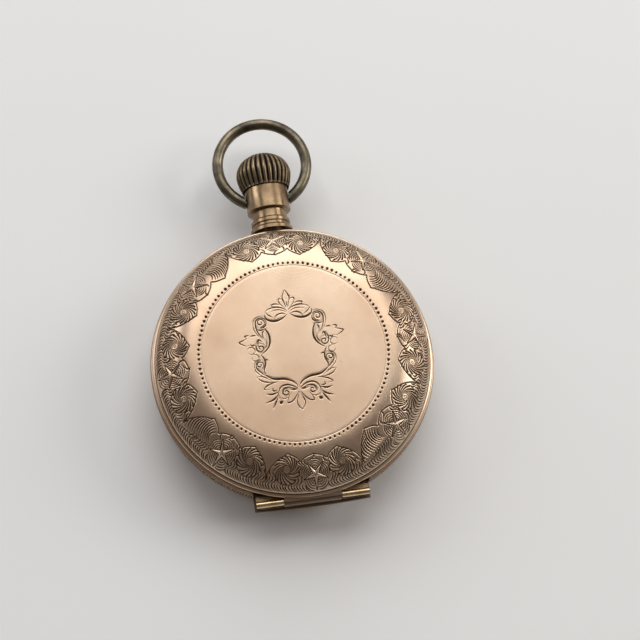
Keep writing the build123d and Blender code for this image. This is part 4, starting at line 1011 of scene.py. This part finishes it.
# Worn metals: middle, dark and light colour, roughness, grime.
METALS = {
    "yellow_gold": ((0.285, 0.2, 0.12), (0.2, 0.135, 0.08), (0.38, 0.275, 0.17), 0.27, 0.2),
    "bow_gold": ((0.14, 0.125, 0.092), (0.05, 0.041, 0.028), (0.3, 0.245, 0.165), 0.34, 0.5),
    "crown_gold": ((0.22, 0.168, 0.105), (0.07, 0.052, 0.03), (0.34, 0.262, 0.17), 0.32, 0.35),
    "brass": ((0.74, 0.56, 0.32), (0.52, 0.37, 0.2), (0.86, 0.7, 0.45), 0.24, 0.2),
    "balance_metal": ((0.8, 0.62, 0.32), (0.5, 0.36, 0.16), (0.9, 0.76, 0.46), 0.2, 0.1),
}
FINISH = {name: worn_metal(name, *tones) for name, tones in METALS.items()}
FINISH |= {
    "rose_gold": engraved_metal("rose_gold_engraved"),
    "gilt": striped_gilt("gilt"),
    "steel": steel("steel"),
    "blued_steel": steel("blued_steel", (0.03, 0.06, 0.26), 0.18),
    "ruby": ruby(),
    "enamel": enamel(),
    "glass": glass(),
}
JOINT_BRASS = joint_brass("joint_brass")
for row in frame["record"]["subparts"]:
    piece = frame["nodes"][row["node"]]
    piece.data.materials.clear()
    piece.data.materials.append(JOINT_BRASS if row["node"] == "case_joint" else FINISH[row["material_slot"]])

# ---- covers and crown
def fit_on(body, slot, node, *pieces):
    """Finishes pieces and puts them on a body, in place of a CAD node."""
    for piece in pieces:
        piece.data.materials.append(FINISH[slot])
        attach(piece, body)
        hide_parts(node)


fit_on("front_lid", "rose_gold", "front_lid", front_lid(), front_lug(), front_leaf())
fit_on("back_lid", "rose_gold", "back_lid", back_lid(), back_lug(), back_ledge())
fit_on("crown", "crown_gold", "crown", crown())

# ---- dial printing, millimetres
DIAL_TOP = 11.5
HOUR_RADIUS, HOUR_HEIGHT = 17.3, 4.6
MINUTE_TRACK = (20.35, 21.25)
SECONDS_AT, SECONDS_TRACK, SECONDS_TOP = (10.0, 0.0), (4.2, 4.9), DIAL_TOP - 0.15
# Each kind of mark lies a little higher than the one it crosses.
STROKE_INK, SERIF_INK, CIRCLE_INK, INK_STEP = 0.012, 0.014, 0.016, 0.002
BROAD, HAIR, SERIF, LETTER_GAP = 0.42, 0.16, 0.12, 0.1
TICK_GAP = 0.03
LIGHT = 0.45  # a light mark's share of a heavy one's width
NUMERALS = ("XII", "I", "II", "III", "IIII", "V", "VI", "VII", "VIII", "IX", "X", "XI")
# Each letter's half width and strokes: from, to, in half widths and half heights, and width.
LETTERS = {
    "I": (0.55, (((0, -1), (0, 1), BROAD),)),
    "V": (0.95, (((-0.75, 1), (0, -1), BROAD), ((0.75, 1), (0, -1), HAIR))),
    "X": (0.95, (((-0.7, 1), (0.7, -1), BROAD), ((0.7, 1), (-0.7, -1), HAIR))),
}


class Print:
    """Flat ink marks gathered in one mesh."""

    def __init__(self):
        self.points, self.faces = [], []

    def quad(self, corners, level):
        first = len(self.points)
        self.points += [(x, y, level) for x, y in corners]
        self.faces.append(tuple(range(first, first + 4)))

    def line(self, start, end, width, level):
        start, end = np.array(start, float), np.array(end, float)
        side = end - start
        side = np.array([-side[1], side[0]]) / np.linalg.norm(side) * width / 2
        self.quad([start - side, end - side, end + side, start + side], level)

    def circle(self, centre, radius, width, level, count=180):
        turns = np.linspace(0, 2 * np.pi, count + 1)
        low, high = (swept(centre, radius + side * width / 2, turns) for side in (-1, 1))
        for corners in zip(low, high, high[1:], low[1:]):
            self.quad(corners, level)

    def numeral(self, text, hour):
        """A Roman numeral standing on the hour circle, its foot toward the middle."""
        up = polar_point(1, 180 - 30 * hour)
        side = np.array([up[1], -up[0]])
        rise = up * HOUR_HEIGHT / 2
        place = -sum(LETTERS[letter][0] for letter in text) - LETTER_GAP / 2 * (len(text) - 1)
        for letter in text:
            half, strokes = LETTERS[letter]
            middle = up * HOUR_RADIUS + side * (place + half)
            for start, end, width in strokes:
                ends = [middle + side * half * a + rise * b for a, b in (start, end)]
                self.line(*ends, width, DIAL_TOP + STROKE_INK)
            reach = side * (half - SERIF)
            for foot in (middle - rise, middle + rise):
                self.line(foot - reach, foot + reach, SERIF, DIAL_TOP + SERIF_INK)
            place += 2 * half + LETTER_GAP

    def track(self, centre, radii, level, width, heavy, count=180):
        """Two circles with sixty marks between them, every fifth one heavier."""
        for radius in radii:
            self.circle(centre, radius, width, level, count)
        for step in range(60):
            along = polar_point(1, 6 * step)
            ends = [centre + along * radius for radius in (radii[0] + TICK_GAP, radii[1] - TICK_GAP)]
            self.line(*ends, heavy if step % 5 == 0 else heavy * LIGHT, level - INK_STEP)


def dial_print():
    """The numerals, the minute track and the seconds track, which leaves no room for the six."""
    sheet = Print()
    for hour, text in enumerate(NUMERALS):
        if hour != 6:
            sheet.numeral(text, hour)
    sheet.track((0, 0), MINUTE_TRACK, DIAL_TOP + CIRCLE_INK, 0.07, 0.24)
    sheet.track(SECONDS_AT, SECONDS_TRACK, SECONDS_TOP + SERIF_INK, 0.06, 0.16, 90)
    return plain_mesh("dial_print", sheet.points, sheet.faces)


marks = dial_print()
marks.data.materials.append(ink("dial_ink", (0.02, 0.02, 0.022)))
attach(marks, "case")

# ---- floor, light and camera
def floor_material():
    n = Nodes("pale_floor")
    cloud = n.noise(6, 3)
    return n.finish(n.ramp(cloud, [(0.3, (0.9, 0.925, 0.945)), (0.7, (0.92, 0.945, 0.965))]), 0.7, 0.0)


bpy.ops.mesh.primitive_plane_add(size=4.0, location=(0, 0, -0.0002))
floor = bpy.context.object
floor.name = "floor"
floor.data.materials.append(floor_material())

# The photograph's view: degrees round and above the watch, roll, metres away, lens in mm.
CAMERA_TURN, CAMERA_RISE, CAMERA_ROLL = -14.95, 72.9, 6.99
CAMERA_REACH = 0.4
CAMERA_TARGET = Vector((0, 0, 0.01))
CAMERA_LENS, SENSOR = 114.6, 36.0
CAMERA_SHIFT = (0.0428, 0.0659)


def add_camera():
    """The camera, where the photograph was taken from."""
    turn, rise = math.radians(CAMERA_TURN), math.radians(CAMERA_RISE)
    look = Vector((-math.sin(turn) * math.cos(rise), math.cos(turn) * math.cos(rise), -math.sin(rise)))
    right = look.cross(Vector((0, 0, 1))).normalized()
    axes = Matrix((right, right.cross(look), -look)).transposed().to_4x4()
    roll = Matrix.Rotation(math.radians(CAMERA_ROLL), 4, "Z")
    data = bpy.data.cameras.new("camera")
    data.lens, data.sensor_width = CAMERA_LENS, SENSOR
    data.shift_x, data.shift_y = CAMERA_SHIFT
    data.clip_start = 0.01
    camera = placed("camera", data)
    camera.matrix_world = Matrix.Translation(CAMERA_TARGET - look * CAMERA_REACH) @ axes @ roll
    bpy.context.scene.camera = camera


add_camera()


def area_light(name, place, size, power, tone):
    """A rectangular light that faces the watch."""
    data = bpy.data.lights.new(name, "AREA")
    data.shape = "RECTANGLE"
    data.size, data.size_y = size
    data.energy = power
    data.color = tone
    light = placed(name, data)
    light.location = place
    light.rotation_euler = (-Vector(place)).to_track_quat("-Z", "Y").to_euler()


def studio_world(colour=(0.66, 0.55, 0.49, 1), strength=0.22):
    world = bpy.data.worlds.new("studio")
    bpy.context.scene.world = world
    world.use_nodes = True
    background = world.node_tree.nodes["Background"]
    background.inputs["Color"].default_value = colour
    background.inputs["Strength"].default_value = strength


# Name, place in metres, size, watts, colour.
area_light("key", (0.1, 0.84, 0.8), (1.3, 1.3), 11.7, (1.0, 0.98, 0.955))
area_light("right", (1.0, 0.15, 0.55), (0.6, 0.5), 4.4, (1.0, 0.96, 0.91))
area_light("left", (-0.9, 0.55, 0.5), (0.5, 0.5), 2.2, (0.97, 0.98, 1.0))
studio_world()
bpy.context.scene.view_settings.view_transform = "Standard"
